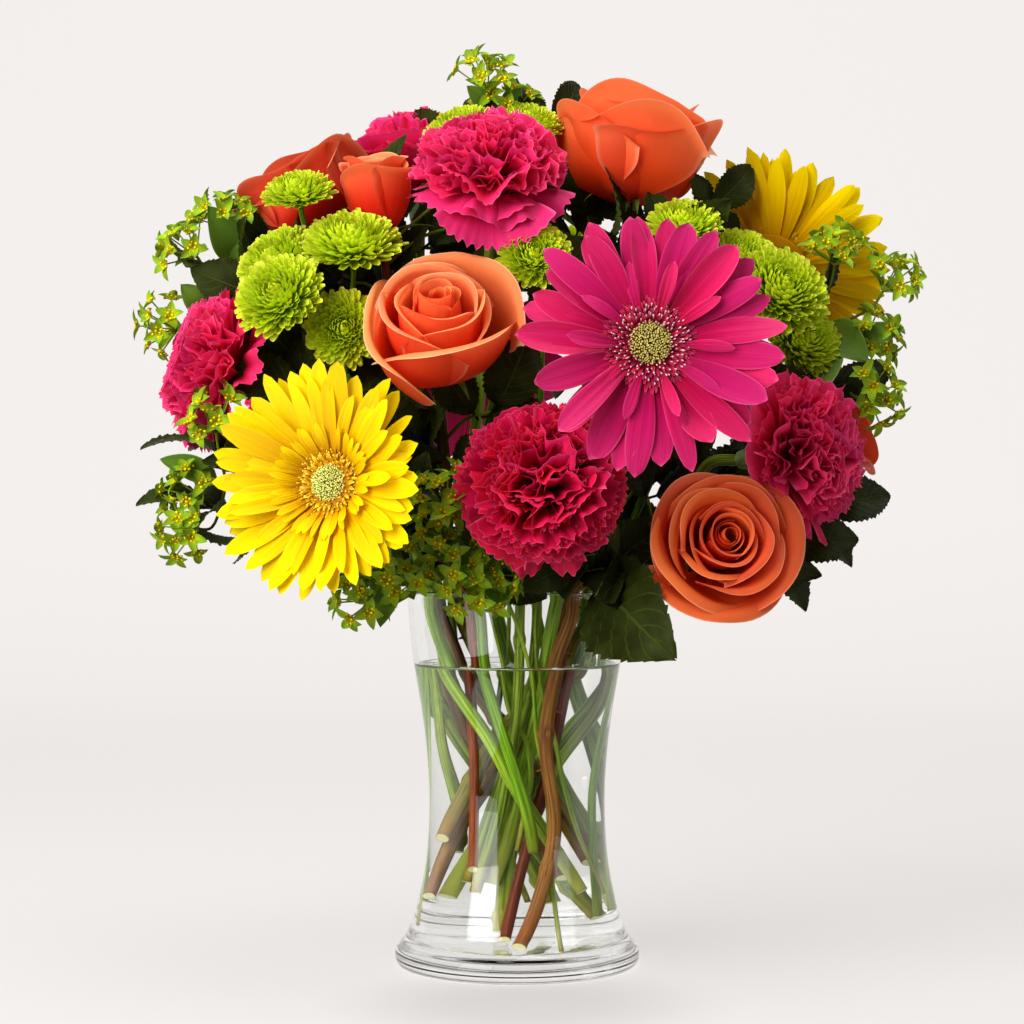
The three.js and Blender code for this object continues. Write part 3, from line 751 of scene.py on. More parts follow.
def petal_material(name, base, middle, tip, edge, edge_width, veins, variation, glow,
                   vein_scale=9.0, roughness=0.45, back=None, tip_back=1.0):
    """A thin petal: a satin front, light that comes through it, and perhaps a tinted back,
    whose tint fades to tip_back of itself towards the tip."""
    material, shader = new_material(name, {"Roughness": roughness, "Specular IOR Level": 0.18})
    tree = material.node_tree
    skin = wire(tree, "Group", {
        "Base": (*base, 1), "Middle": (*middle, 1), "Tip": (*tip, 1), "Edge": (*edge, 1),
        "Edge Width": edge_width, "Veins": veins, "Vein Scale": vein_scale, "Variation": variation,
    }, node_tree=PETAL_SKIN)
    colour = skin.outputs["Color"]
    if back:
        fading = ramp(tree, petal_place(tree)["Y"], HALF_WAY, 1.0, 1.0, tip_back)
        reverse = mixed(tree, fading, colour, (*back, 1), blend_type="MULTIPLY")
        colour = mixed(tree, wire(tree, "NewGeometry", {}).outputs["Backfacing"], colour, reverse)
    bump = wire(tree, "Bump", {"Height": skin.outputs["Height"], "Strength": 0.5,
                               "Distance": PETAL_RELIEF})
    tree.links.new(colour, shader.inputs["Base Color"])
    tree.links.new(bump.outputs["Normal"], shader.inputs["Normal"])
    lit_through(tree, shader, glow, {"Color": colour, "Normal": bump.outputs["Normal"]})
    return material


def ray_outline(rows, neck, fullest):
    """Half width along a ray: a neck that swells to its fullest part, then a round tip."""
    u = np.linspace(0, 1, rows)
    swell = neck + (1 - neck) * np.sin(np.pi / 2 * np.clip(u / fullest, 0, 1)) ** 1.2
    tip = (1 - np.clip((u - fullest) / (1 - fullest), 0, 1) ** 2) ** 0.5
    return swell * np.maximum(tip, 0.05)


RAY_ROWS = 16


def ray_layer(rng, count, start, reach, width, height, lift, droop, shift):
    """One layer of ray florets: evenly spaced spokes with small natural differences."""
    azimuth = spokes(count, shift) + rng.normal(0, 0.035, count)
    length = (reach - start) * (1 + rng.normal(0, 0.045, count))
    u = np.linspace(0, 1, RAY_ROWS)
    pitch = lift + rng.normal(0, 0.07, (count, 1)) - (droop + rng.normal(0, 0.14, (count, 1))) * u**1.6
    places = blades(
        azimuth, (start, height), length, width * (1 + rng.normal(0, 0.1, count)),
        ray_outline(RAY_ROWS, 0.32, 0.63), pitch,
        channel=rng.normal(0.12, 0.13, count), ridge=rng.uniform(0.25, 0.45, count),
        twist=rng.normal(0, 0.22, count), sway=rng.normal(0, 0.05, count), cols=10, ruffle=0.06,
    )
    return sheets(places, rng.random(count))


def spiral(count, inner, outer):
    """Azimuths and distances of florets packed in a sunflower spiral between two circles."""
    share = (np.arange(count) + 0.5) / count
    return np.arange(count) * GOLDEN_ANGLE, (inner**2 + (outer**2 - inner**2) * share) ** 0.5


def disc_florets(rng, count, inner, outer, radius, length, dome):
    """Florets of the disc as small rods that stand on its dome and lean outwards."""
    azimuth, distance = spiral(count, inner, outer)
    azimuth = azimuth + rng.normal(0, 0.03, count)
    height = dome[0] + dome[1] * (1 - (distance / outer) ** 2)
    out = np.stack([np.cos(azimuth), np.sin(azimuth), 0 * azimuth], axis=1)
    place = out * distance[:, None] + np.array([0, 0, 1]) * height[:, None]
    lean = 0.15 + 0.75 * (distance / outer) ** 2
    toward = out * lean[:, None] + [0, 0, 1] + rng.normal(0, 0.12, (count, 3))
    shape = [(0, 0.001), (0.02, 0.7), (0.7, 0.8), (0.88, 1.0), (0.98, 0.6), (1, 0.001)]
    size = rng.normal(1, 0.1, count)
    return knobs(place, toward, length * size, radius * size, shape, rng.random(count))


# The cup as a turned outline, then its rows of bracts: distance from the axis, height, length.
CUP_BELL = [(0.01, 0.6), (3.6, 0.5), (5, 1.0), (8, 3.2), (10.5, 6.4), (12, 10.4), (0.01, 10.4)]
BRACT_ROWS = [(9.8, 4.6, 7.5), (8.2, 2.6, 7), (6, 0.7, 7)]
BRACTS_IN_ROW = 26
BRACT_WIDTH = 2.6
BRACT_OUTLINE = [0.8, 1, 0.95, 0.75, 0.4, 0.04]


def involucre(rng):
    """The green cup: a turned bell covered by three rows of narrow pointed bracts."""
    parts = [turned_part(CUP_BELL, 24, [0, 0.4, 0.5])]
    for row, (*root, length) in enumerate(BRACT_ROWS):
        pitch = np.linspace(1.05, 0.75 + 0.2 * row, 6) + rng.normal(0, 0.05, (BRACTS_IN_ROW, 1))
        azimuth = spokes(BRACTS_IN_ROW, row / 2)
        leafy = blades(azimuth, root, length, BRACT_WIDTH, BRACT_OUTLINE, pitch, 0.3, cols=4)
        parts.append(sheets(leafy, rng.random(BRACTS_IN_ROW)))
    return joined(parts)


magenta_ray = petal_material(
    "magenta_ray", (0.33, 0.001, 0.03), (0.55, 0.006, 0.095), (0.65, 0.02, 0.145), (0.79, 0.09, 0.25),
    edge_width=0.12, veins=0.22, vein_scale=8.0, variation=0.22, roughness=0.42, glow=0.22,
    back=(1.0, 0.9, 1.0),
)
yellow_ray = petal_material(
    "yellow_ray", (0.78, 0.32, 0.0), (0.90, 0.57, 0.0), (0.93, 0.73, 0.0), (0.95, 0.80, 0.005),
    edge_width=0.12, veins=0.22, vein_scale=7.0, variation=0.16, roughness=0.45, glow=0.3,
    back=(0.98, 0.95, 0.6),
)
crimson_floret = petal_material(
    "crimson_floret", (0.10, 0.0, 0.012), (0.34, 0.002, 0.03), (0.62, 0.03, 0.12), (0.75, 0.2, 0.28),
    edge_width=0.1, veins=0.1, variation=0.5, glow=0.1,
)
pink_anther = petal_material(
    "pink_anther", (0.25, 0.0, 0.02), (0.35, 0.005, 0.04), (0.85, 0.5, 0.5), (0.85, 0.5, 0.5),
    edge_width=0.01, veins=0.0, variation=0.5, glow=0.05,
)
olive_floret = petal_material(
    "olive_floret", (0.18, 0.10, 0.02), (0.34, 0.25, 0.04), (0.56, 0.48, 0.12), (0.6, 0.5, 0.14),
    edge_width=0.01, veins=0.1, variation=0.5, glow=0.05,
)
golden_floret = petal_material(
    "golden_floret", (0.45, 0.17, 0.0), (0.78, 0.42, 0.0), (0.98, 0.75, 0.06), (1.0, 0.8, 0.1),
    edge_width=0.1, veins=0.1, variation=0.5, glow=0.15,
)
green_floret = petal_material(
    "green_floret", (0.42, 0.42, 0.04), (0.58, 0.60, 0.12), (0.66, 0.68, 0.18), (0.7, 0.7, 0.2),
    edge_width=0.01, veins=0.1, variation=0.3, glow=0.05,
)
calyx_green = petal_material(
    "calyx_green", (0.20, 0.30, 0.05), (0.16, 0.27, 0.04), (0.13, 0.22, 0.03), (0.3, 0.36, 0.1),
    edge_width=0.2, veins=0.4, variation=0.3, roughness=0.6, glow=0.05,
)

# Layers as (count, start, reach, width, height, lift, droop) for rays of a full-sized head.
GERBERA_RADIUS = 62
MAGENTA_LAYERS = [
    (18, 11, 61, 14.0, 10.6, 0.09, 0.04), (17, 12, 62.5, 14.0, 12.4, 0.14, 0.16),
    (10, 13, 40, 6.0, 14.0, 0.30, 0.34),
]
YELLOW_LAYERS = [
    (24, 11, 61, 11.0, 10.6, 0.08, 0.06), (25, 12, 62.5, 10.0, 12.4, 0.16, 0.14),
    (26, 13, 54, 7.8, 13.6, 0.24, 0.26), (40, 14, 32, 3.6, 14.6, 0.5, 0.4),
]
# How much more steeply the two yellow heads' rays rise, in radians.
RAY_LIFT = {"gerbera_yellow_right": 0.22, "gerbera_yellow_left": 0.30}
# The ring of open florets around the middle, on a dome that carries them and the buds.
RING_STRAPS = 190
STRAP_OUTLINE = [0.6, 0.9, 1, 0.9, 0.3]
DISC_DOME = [(0.01, 10.2), (19, 10.2), (19, 12.2), (14, 13.6), (9, 15.0), (5, 16.0), (0.01, 16.2)]
ANTHERS = 150
DISC_BUDS = 300


def floret_ring(rng):
    """Short straps that lean outwards from a ring of the dome, each bent back at its tip."""
    azimuth, distance = spiral(RING_STRAPS, 9.0, 19.0)
    pitch = 1.35 - 0.8 * (distance / 18.5)[:, None] - np.linspace(0, 0.9, 5)
    root = np.stack([distance, 13.2 + 0 * distance], axis=1)
    length = rng.uniform(4, 6.6, RING_STRAPS)
    straps = blades(azimuth, root, length, 1.7, STRAP_OUTLINE, pitch, 0.4, cols=3)
    straps = sheets(straps, rng.random(RING_STRAPS))
    return joined([straps, turned_part(DISC_DOME, 32, [0, 0.1, 0.5])])


for order, (name, (_, seat, facing, _, radius)) in enumerate(GERBERAS.items()):
    rng = np.random.default_rng(40 + order)
    yellow = "yellow" in name
    layers = []
    for number, layer in enumerate(YELLOW_LAYERS if yellow else MAGENTA_LAYERS):
        count, start, reach, width, height, lift, droop = layer
        reach = reach * (radius / GERBERA_RADIUS)
        lift = lift + RAY_LIFT.get(name, 0.0)
        layers.append(ray_layer(rng, count, start, reach, width, height, lift, droop, number / 2))
    ring = floret_ring(rng)
    anthers = disc_florets(rng, ANTHERS, 8.0, 16.5, 0.42, 4.6, (12.2, 3.0))
    buds = disc_florets(rng, DISC_BUDS, 0.1, 7.8 if yellow else 9.0, 0.5, 2.2, (14.2, 1.9))
    slot = "yellow_petals" if yellow else "magenta_petals"
    for label, part, material, material_slot in (
        ("_rays", joined(layers), yellow_ray if yellow else magenta_ray, slot),
        ("_floret_ring", ring, golden_floret if yellow else crimson_floret, slot),
        ("_anthers", anthers, golden_floret if yellow else pink_anther, slot),
        ("_disc_buds", buds, green_floret if yellow else olive_floret, slot),
        ("_calyx", involucre(rng), calyx_green, "green_stem"),
    ):
        part = seated(part, seat, facing)
        add_marked(name + label, part, "petal", material, name + "_head")

# ---------------------------------------------------------------------------
# Rose stems: woody canes, olive to brown, with a few thorns and leaf scars.
# They are cut on the slant. Their leaves are made last, when the heads are in place.
# ---------------------------------------------------------------------------

FLOWER_NECK = 16
# As for the gerberas: line, seat, facing, stem radius, then the bloom's radius and height,
# how far it has opened (1 is full), its colour and its turn about its own axis.
ROSES = {
    "rose_front": (
        [(27, 14, 49), (7, 14, 100), (-20, 8, 158), (-34, 0, 195), (-36, -30, 250)],
        (-39, -60, 305.5), (0.02, -0.76, 0.65), 3.3, 38, 58, 1.0, "peach", 0.4,
    ),
    "rose_lower_right": (
        [(0, -44, 12.5), (10, -39, 38), (18, -34, 74), (13.5, -34, 120), (18.5, -30, 157),
         (27, -37, 182), (30, -38, 198), (60, -40, 208)],
        (96, -60.5, 213), (0.14, -0.95, 0.27), 3.6, 38, 50, 0.96, "coral", 2.2,
    ),
    "rose_top": (
        [(-6, -30, 14.5), (0, -24, 44), (8, -16, 80), (14, -14, 107), (22, -12.5, 155),
         (30, -8, 195), (50, -4, 300)],
        (57, -8, 390), (0.08, -0.08, 1), 2.6, 42, 62, 1.0, "peach", 1.1,
    ),
    "rose_left_back": (
        [(18, 8, 42), (-2, 7, 86), (-18, 5, 120), (-29, 3, 157), (-44, 5, 195), (-72, 4, 290)],
        (-98, 10, 378), (-0.5, 0.12, 0.85), 2.8, 36, 48, 0.95, "scarlet", 0.0,
    ),
    "rose_bud": (
        [(-21, -30, 52), (-20, -27, 92), (-19.5, -18.5, 131), (-21, -15, 157), (-27, -15, 195),
         (-42, -20, 215), (-54, -16, 260)],
        (-68, -30, 370), (-0.1, -0.16, 0.98), 2.5, 19, 50, 0.5, "scarlet", 0.8,
    ),
    "rose_right_back": (
        [(-35, -11, 65), (-22, -14, 93), (-3, -8, 129), (23, -3, 155), (30, 6, 168),
         (41, 18, 184), (45, 21, 199), (90, 34, 236)],
        (142, 24, 274), (0.86, -0.02, 0.36), 3.8, 35, 46, 0.95, "coral", 0.2,
    ),
    "rose_back": (
        [(-38, 0, 32), (-21.5, -2, 77), (1, 2, 120), (12, 7, 146), (17, 9, 157), (26, 15, 195),
         (46, 62, 262)],
        (62, 96, 312), (0.34, 0.86, 0.38), 3.7, 38, 50, 1.0, "peach", 0.0,
    ),
}
THORNS = 6
# The stems' own colours: light, dark, foot.
CANE_COLOURS = {
    "rose_front": ((0.19, 0.14, 0.014), (0.06, 0.045, 0.005), (0.12, 0.035, 0.007)),
    "rose_lower_right": ((0.22, 0.095, 0.016), (0.07, 0.022, 0.005), (0.14, 0.04, 0.008)),
    "rose_top": ((0.13, 0.025, 0.008), (0.04, 0.008, 0.003), (0.09, 0.015, 0.005)),
    "rose_left_back": ((0.17, 0.085, 0.012), (0.055, 0.022, 0.004), (0.10, 0.03, 0.007)),
    "rose_bud": ((0.19, 0.04, 0.009), (0.07, 0.012, 0.003), (0.17, 0.04, 0.008)),
    "rose_right_back": ((0.17, 0.15, 0.012), (0.06, 0.05, 0.005), (0.17, 0.085, 0.012)),
    "rose_back": ((0.18, 0.10, 0.014), (0.06, 0.028, 0.005), (0.12, 0.045, 0.008)),
}


def swellings(along, nodes, length):
    """A smooth hump of height one at each node, for shares of the way along a stem."""
    return sum(np.exp(-(((along - at) / length) ** 2)) for at in nodes)


def cane_radius(rng, line, radius, nodes):
    """The cane's radius along it: slow changes, swollen leaf scars, and a slight taper."""
    along = np.linspace(0, 1, len(line))
    wave = 0.03 * np.sin(along * 17 + rng.random() * 6)
    return radius * (1.0 - 0.12 * along + wave + 0.28 * swellings(along, nodes, 0.012))


def thorns(rng, line, radius, count):
    """Small hooked cones that stand out of the cane and point downwards."""
    at = (np.linspace(0.36, 0.9, count) * (len(line) - 1)).astype(int)
    angle = rng.random(count) * 2 * np.pi
    out = np.stack([np.cos(angle), np.sin(angle), 0 * angle], axis=1)
    place = line[at] + out * radius * 0.7
    shape = [(0, 0.01), (0.02, 1.0), (0.35, 0.5), (0.75, 0.2), (1, 0.01)]
    toward = out + np.array([0, 0, -0.35])
    places, quads, marks = knobs(
        place, toward, 4.6 * MM, 1.5 * MM, shape, rng.random(count), sides=6
    )
    return places, quads, np.stack([marks[:, 1], marks[:, 0], 0.2 + 0 * marks[:, 0]], 1) * 0.01


for order, (name, data) in enumerate(ROSES.items()):
    points, seat, facing, radius = data[:4]
    rng = np.random.default_rng(60 + order)
    line = stem_line(points, seat, facing, FLOWER_NECK)
    nodes = rng.uniform([0.12, 0.3, 0.55], [0.24, 0.45, 0.8])
    width = cane_radius(rng, line, radius * MM, nodes)
    light, dark, foot = CANE_COLOURS[name]
    part = joined([tube(line, width, 16, slant=0.7), thorns(rng, line, radius * MM, THORNS)])
    skin = stem_material(name + "_cane", light, dark, foot, 0.03, 0.5, 0.5)
    add_marked(name + "_cane", part, "stem", skin, name + "_stem")

# ---------------------------------------------------------------------------
# Rose blooms: broad cupped petals in a spiral, shut around the heart and rolled
# back at the lip further out, on a green hip with five pointed sepals.
# ---------------------------------------------------------------------------


def seen(red, green, blue):
    """A colour as seen on a screen, 0 to 255, as linear light."""
    value = np.array([red, green, blue]) / 255
    return tuple(np.where(value <= 0.04045, value / 12.92, ((value + 0.055) / 1.055) ** 2.4))


# A petal's midline as (distance from the axis, height) for a bloom of the radius and height
# below, from the heart (0) to the outermost petals (1).
ROSE_RADIUS = 38
ROSE_HEIGHT = 50
ROSE_STAGES = np.array([0.0, 0.3, 0.6, 0.82, 1.0])
TALL_LINES = np.array([
    [(1.0, 4), (3.0, 15), (4.4, 28), (4.4, 40), (3.4, 47), (2.4, 49.5)],
    [(3.0, 4), (8.5, 14), (11.6, 27), (12.0, 37), (10.6, 44), (10.6, 47)],
    [(5.0, 4), (15, 11), (20.5, 22), (21.8, 32), (21.6, 40), (23.0, 44)],
    [(6.5, 4), (21, 9), (28.5, 19), (31.0, 30), (31.5, 38), (34.0, 42)],
    [(8.0, 4), (25, 7), (33.5, 14), (36.6, 24), (38.4, 33), (42.0, 38)],
])
# The same for a bloom that stands open like a tall cup, and for one whose outer petals have
# sunk to the sides.
CUP_LINES = np.array([
    [(1.5, 4), (4, 15), (5.6, 28), (5, 36), (3.6, 41), (2.8, 43)],
    [(3.0, 4), (9, 14), (12.5, 27), (13.0, 36), (13.5, 42), (16, 46)],
    [(5.0, 4), (15, 11), (21.5, 22), (24, 32), (26, 40), (32, 46)],
    [(6.5, 4), (20, 9), (28.5, 18), (32, 29), (34.5, 38), (41, 45)],
    [(8.0, 4), (23, 8), (32, 16), (35.5, 26), (38, 34), (46, 41)],
])
OPEN_LINES = np.array([
    [(1.0, 4), (3.0, 15), (4.2, 28), (4.2, 37), (3.2, 43), (2.2, 45.5)],
    [(3.0, 4), (8.0, 14), (11.2, 27), (12.0, 36), (11.4, 42), (12.0, 44.5)],
    [(5.0, 4), (14, 11), (19.5, 22), (21.6, 31), (22.8, 37), (25.4, 40.5)],
    [(6.5, 4), (20, 9), (27.0, 18), (30.5, 27), (33.5, 33), (38.5, 36.5)],
    [(8.0, 4), (23, 7), (32.0, 14), (37.0, 21), (41.5, 27), (47.0, 30)],
])
# Each form: its midlines, then how far the petals' sides drop, at the heart and how much
# more at the rim, the power of that drop, and its rim as a share of the bloom's radius.
ROSE_FORMS = {
    "high": (TALL_LINES, 0.20, 0.26, 2.1, 1.0),
    "cup": (CUP_LINES, 0.18, 0.12, 2.6, 0.95),
    "open": (OPEN_LINES, 0.20, 0.22, 2.2, 0.92),
}
ROSE_FORM = {"rose_top": "cup", "rose_left_back": "cup", "rose_bud": "cup", "rose_lower_right": "open"}
# Half the angle that a petal takes up around the axis.
ROSE_SPREAD = np.array([2.6, 1.55, 1.3, 1.3, 1.35])
MIDLINE_STEPS = 80
# A bud's petals stand closer to the axis than an open bloom's.
BUD_OPENED, BUD_WIDTH = [0.4, 1.0], [0.50, 1.0]


def rose_petals(rng, radius, height, opened, form):
    """Petals as parts of cups: at the angle v spread(u) around the axis the point lies on
    the midline at u (1 - drop |v| to a power), which rounds the petal's shoulders.
    The lip rolls outwards, waves a little, and comes to a blunt point in its middle.
    Each petal is flatter than the circle that it lies on, so that the rings cross.
    """
    lines, drop_least, drop_more, drop_power, reach = ROSE_FORMS[form]
    wavy = 2.4 if form == "cup" else 1.0
    count = int(8 + (16 if form == "open" else 10) * opened)
    rows, cols = 24, 27
    u = np.linspace(0, 1, rows)[:, None]
    v = np.linspace(-1, 1, cols)[None, :]
    places = []
    for number in range(count):
        stage = opened * (number + 0.5) / count
        line = np.stack([
            [np.interp(stage, ROSE_STAGES, lines[:, k, axis]) for k in range(6)]
            for axis in (0, 1)
        ], axis=1)
        fine = smooth_line(line, MIDLINE_STEPS)
        spread = np.interp(stage, ROSE_STAGES, ROSE_SPREAD) * rng.normal(1, 0.06)
        drop = drop_least + drop_more * stage
        point = rng.uniform(-0.25, 0.25)
        tip = 0.04 * stage * np.exp(-(((v - point) / 0.2) ** 2)) * u**4
        at = u * (1 - drop * np.abs(v) ** drop_power + tip)
        where = np.clip(at, 0, 1) * MIDLINE_STEPS
        r, z = (np.interp(where, np.arange(MIDLINE_STEPS + 1), fine[:, axis]) for axis in (0, 1))
        lean = rng.uniform(-0.8, 0.8)
        lip = np.clip((u - 0.86) / 0.14, 0, 1) ** 2 * (0.35 + 0.65 * np.clip(lean * v + 0.6, 0, 1.4))
        roll = (0.5 + (4.6 * stage**1.4 if form == "high" else 3.6 * stage)) * rng.uniform(0.5, 1.4)
        r = r + roll * lip * 0.85
        z = z - roll * lip * (0.15 + 0.55 * stage)
        side = rng.choice([-1, 1]) * (0.20 - 0.12 * stage)
        r = r * (1 + side * v * np.clip(1.3 - 2 * stage, 0.1, 1))
        r = r * (0.93 + (0.13 if form == "open" else 0.22) * v**2 * min(1, 3 * stage))
        wave = rng.normal(0, 1, 3)
        ripple = 1.6 * wave[0] * np.sin(2.3 * v + wave[1]) + np.sin(5 * v + 4 * wave[2])
        r = r + wavy * stage * u**2 * ripple
        z = z + wavy * 2.6 * stage**1.5 * u**3 * np.sin(4.1 * v + 3 * wave[1])
        angle = number * GOLDEN_ANGLE + rng.normal(0, 0.12)
        angle = angle + v * spread * (0.30 + 0.70 * np.sin(np.pi / 2 * np.clip(at / 0.55, 0, 1)))
        r = r * rng.normal(1, 0.04)
        z = z * rng.normal(1, 0.02 + (0.07 if form == "cup" else 0.05) * stage)
        z = z + 2.4 * stage * rng.normal() * v * u**2
        r = r * reach * radius / ROSE_RADIUS / np.interp(opened, BUD_OPENED, BUD_WIDTH)
        places.append(np.stack([r * np.cos(angle), r * np.sin(angle), z * height / ROSE_HEIGHT], axis=-1))
    return sheets(np.array(places), rng.random(count))


HIP = [(0.01, 0.4), (2.6, 0.4), (4.4, 1.6), (5.6, 4), (5.2, 6.6), (6.4, 8.4), (0.01, 9)]
SEPALS = 5
SEPAL_OUTLINE = [0.75, 1, 0.95, 0.8, 0.62, 0.45, 0.3, 0.16, 0.03]


def hip_and_sepals(rng, down):
    """The green hip under the petals, with five narrow sepals that hang from it."""
    azimuth = spokes(SEPALS) + rng.normal(0, 0.1, SEPALS)
    pitch = np.linspace(0.5, -down, 9) + rng.normal(0, 0.15, (SEPALS, 1))
    twist = rng.normal(0, 0.4, SEPALS)
    leafy = blades(azimuth, (5, 7.2), 24, 7, SEPAL_OUTLINE, pitch, 0.25, twist=twist, cols=7)
    return joined([turned_part(HIP, 20, [0, 0.5, 0.4]), sheets(leafy, rng.random(SEPALS))])


ROSE_SKINS = {
    "peach": petal_material(
        "peach_rose", seen(232, 54, 8), seen(250, 108, 44), seen(255, 156, 94), seen(255, 206, 160),
        edge_width=0.05, veins=0.14, vein_scale=5.0, variation=0.16, roughness=0.5, glow=0.36,
        back=(0.93, 0.44, 0.50), tip_back=0.6,
    ),
    "coral": petal_material(
        "coral_rose", seen(216, 38, 6), seen(234, 76, 28), seen(242, 112, 60), seen(252, 164, 120),
        edge_width=0.05, veins=0.14, vein_scale=5.0, variation=0.16, roughness=0.5, glow=0.36,
        back=(0.92, 0.45, 0.5), tip_back=0.6,
    ),
    "scarlet": petal_material(
        "scarlet_rose", seen(226, 60, 20), seen(242, 104, 56), seen(248, 136, 88), seen(252, 176, 130),
        edge_width=0.08, veins=0.14, vein_scale=5.0, variation=0.16, roughness=0.5, glow=0.3,
        back=(0.80, 0.12, 0.14), tip_back=0.35,
    ),
}
for order, (name, data) in enumerate(ROSES.items()):
    _, seat, facing, _, radius, height, opened, colour, spin = data
    rng = np.random.default_rng(80 + order)
    petals = rose_petals(rng, radius, height, opened, ROSE_FORM.get(name, "high"))
    petals = seated(petals, seat, facing, spin)
    add_marked(name + "_petals", petals, "petal", ROSE_SKINS[colour], name + "_bloom")
    sepals = seated(hip_and_sepals(rng, 1.1 if opened > 0.6 else 0.2), seat, facing, spin)
    add_marked(name + "_sepals", sepals, "petal", calyx_green, name + "_bloom")

# ---------------------------------------------------------------------------
# Carnation stems: stiff, waxy, grey-green canes with swollen joints, and a pair of
# narrow curled leaves at one joint. They are cut just below a joint.
# ---------------------------------------------------------------------------

# As for the roses: line, seat, facing, stem radius, then the bloom's height and its depth
# of colour.
CARNATIONS = {
    "carnation_top": (
        [(-20, -2, 42), (-11, -6, 80), (-6, -10, 100), (-1, -14, 119), (3, -15, 134),
         (8, -13, 157), (10, -12, 195), (-6, -18, 300)],
        (-14, -40, 371), (0, -0.38, 0.92), 2.8, 60, "pink",
    ),
    "carnation_front": (
        [(-18, -12, 38), (-8, -15, 80), (-5, -18, 100), (-2, -24, 119), (0, -27, 140),
         (1, -26, 157), (2, -32, 195), (8, -52, 226)],
        (12, -72, 246), (0, -0.99, 0.1), 2.8, 54, "crimson",
    ),
    "carnation_left": (
        [(-23, 8, 57), (-21, 7, 77), (-25, 0, 93), (-32.5, -8, 117), (-37, -10, 156),
         (-47, -6, 195), (-84, -14, 264)],
        (-118, -22, 298), (-0.9, -0.26, 0.32), 3.1, 54, "pink",
    ),
    "carnation_right": (
        [(-7, -3, 14), (-2, 0, 63), (6, -1, 84), (15, 3, 107), (30, 8, 136), (37, 4, 157),
         (46, -10, 195), (84, -22, 240)],
        (112, -32, 262), (0.82, -0.55, 0.08), 3.3, 54, "pink",
    ),
    "carnation_top_back": (
        [(29, 18, 18), (14.5, 20, 43.5), (-17, 20, 113), (-28, 19, 142), (-36, 20, 163),
         (-42, 24, 195), (-56, 30, 290)],
        (-52, 40, 388), (0, 0.24, 0.97), 3.1, 52, "pink",
    ),
    "carnation_back_left": (
        [(11, 38.5, 24), (-3, 36, 78), (-22, 37, 157), (-33, 36, 195), (-62, 54, 256)],
        (-90, 64, 296), (-0.66, 0.68, 0.32), 2.9, 56, "crimson",
    ),
}

carnation_skin = stem_material(
    "carnation_stem", seen(130, 150, 44), seen(66, 88, 18), seen(104, 88, 24), 0.03, 0.35, 0.5
)
carnation_leaf = petal_material(
    "carnation_leaf", seen(150, 170, 100), seen(120, 148, 86), seen(112, 140, 84), seen(150, 170, 110),
    edge_width=0.2, veins=0.3, vein_scale=5.0, variation=0.2, roughness=0.55, glow=0.12,
)


JOINT_LEAF_OUTLINE = [0.9, 0.8, 0.95, 1, 1, 0.95, 0.88, 0.78, 0.64, 0.48, 0.28, 0.03]
JOINT_LEAF_LENGTH = 30
JOINT_LEAF_WIDTH = 5


def joint_leaves(rng, line, at):
    """A pair of narrow leaves that clasp the stem at a joint and arch away from it."""
    pitch = np.linspace(1.35, -0.2, 12) + rng.normal(0, 0.12, (2, 1))
    azimuth = spokes(2) + rng.random() * 3
    leafy = blades(azimuth, (2.6, 0), JOINT_LEAF_LENGTH, JOINT_LEAF_WIDTH, JOINT_LEAF_OUTLINE, pitch,
                   0.55, twist=rng.normal(0, 0.5, 2), cols=6)
    spot = int(at * (len(line) - 1))
    return seated(sheets(leafy, rng.random(2)), line[spot] / MM, unit(line[spot + 1] - line[spot]))


for order, (name, data) in enumerate(CARNATIONS.items()):
    points, seat, facing, radius = data[:4]
    rng = np.random.default_rng(100 + order)
    line = stem_line(points, seat, facing, FLOWER_NECK)
    nodes = rng.uniform([0.02, 0.26, 0.5, 0.78], [0.06, 0.36, 0.6, 0.84])
    along = np.linspace(0, 1, len(line))
    width = radius * MM * (0.96 + 0.42 * swellings(along, nodes, 0.009) - 0.06 * along)
    stalk = tube(line, width, 16, slant=0.35)
    add_marked(name + "_stalk", stalk, "stem", carnation_skin, name + "_stem")
    leaves = joint_leaves(rng, line, nodes[3])
    add_marked(name + "_joint_leaves", leaves, "petal", carnation_leaf, name + "_stem")

# ---------------------------------------------------------------------------
# Carnation blooms: a long green calyx tube that bursts into nearly sixty
# ruffled, fan-shaped petals with toothed edges.
# ---------------------------------------------------------------------------


CARNATION_REACH = 48
CARNATION_PETALS = 58
# The calyx tube's share of the bloom's height.
CALYX_SHARE = 0.38


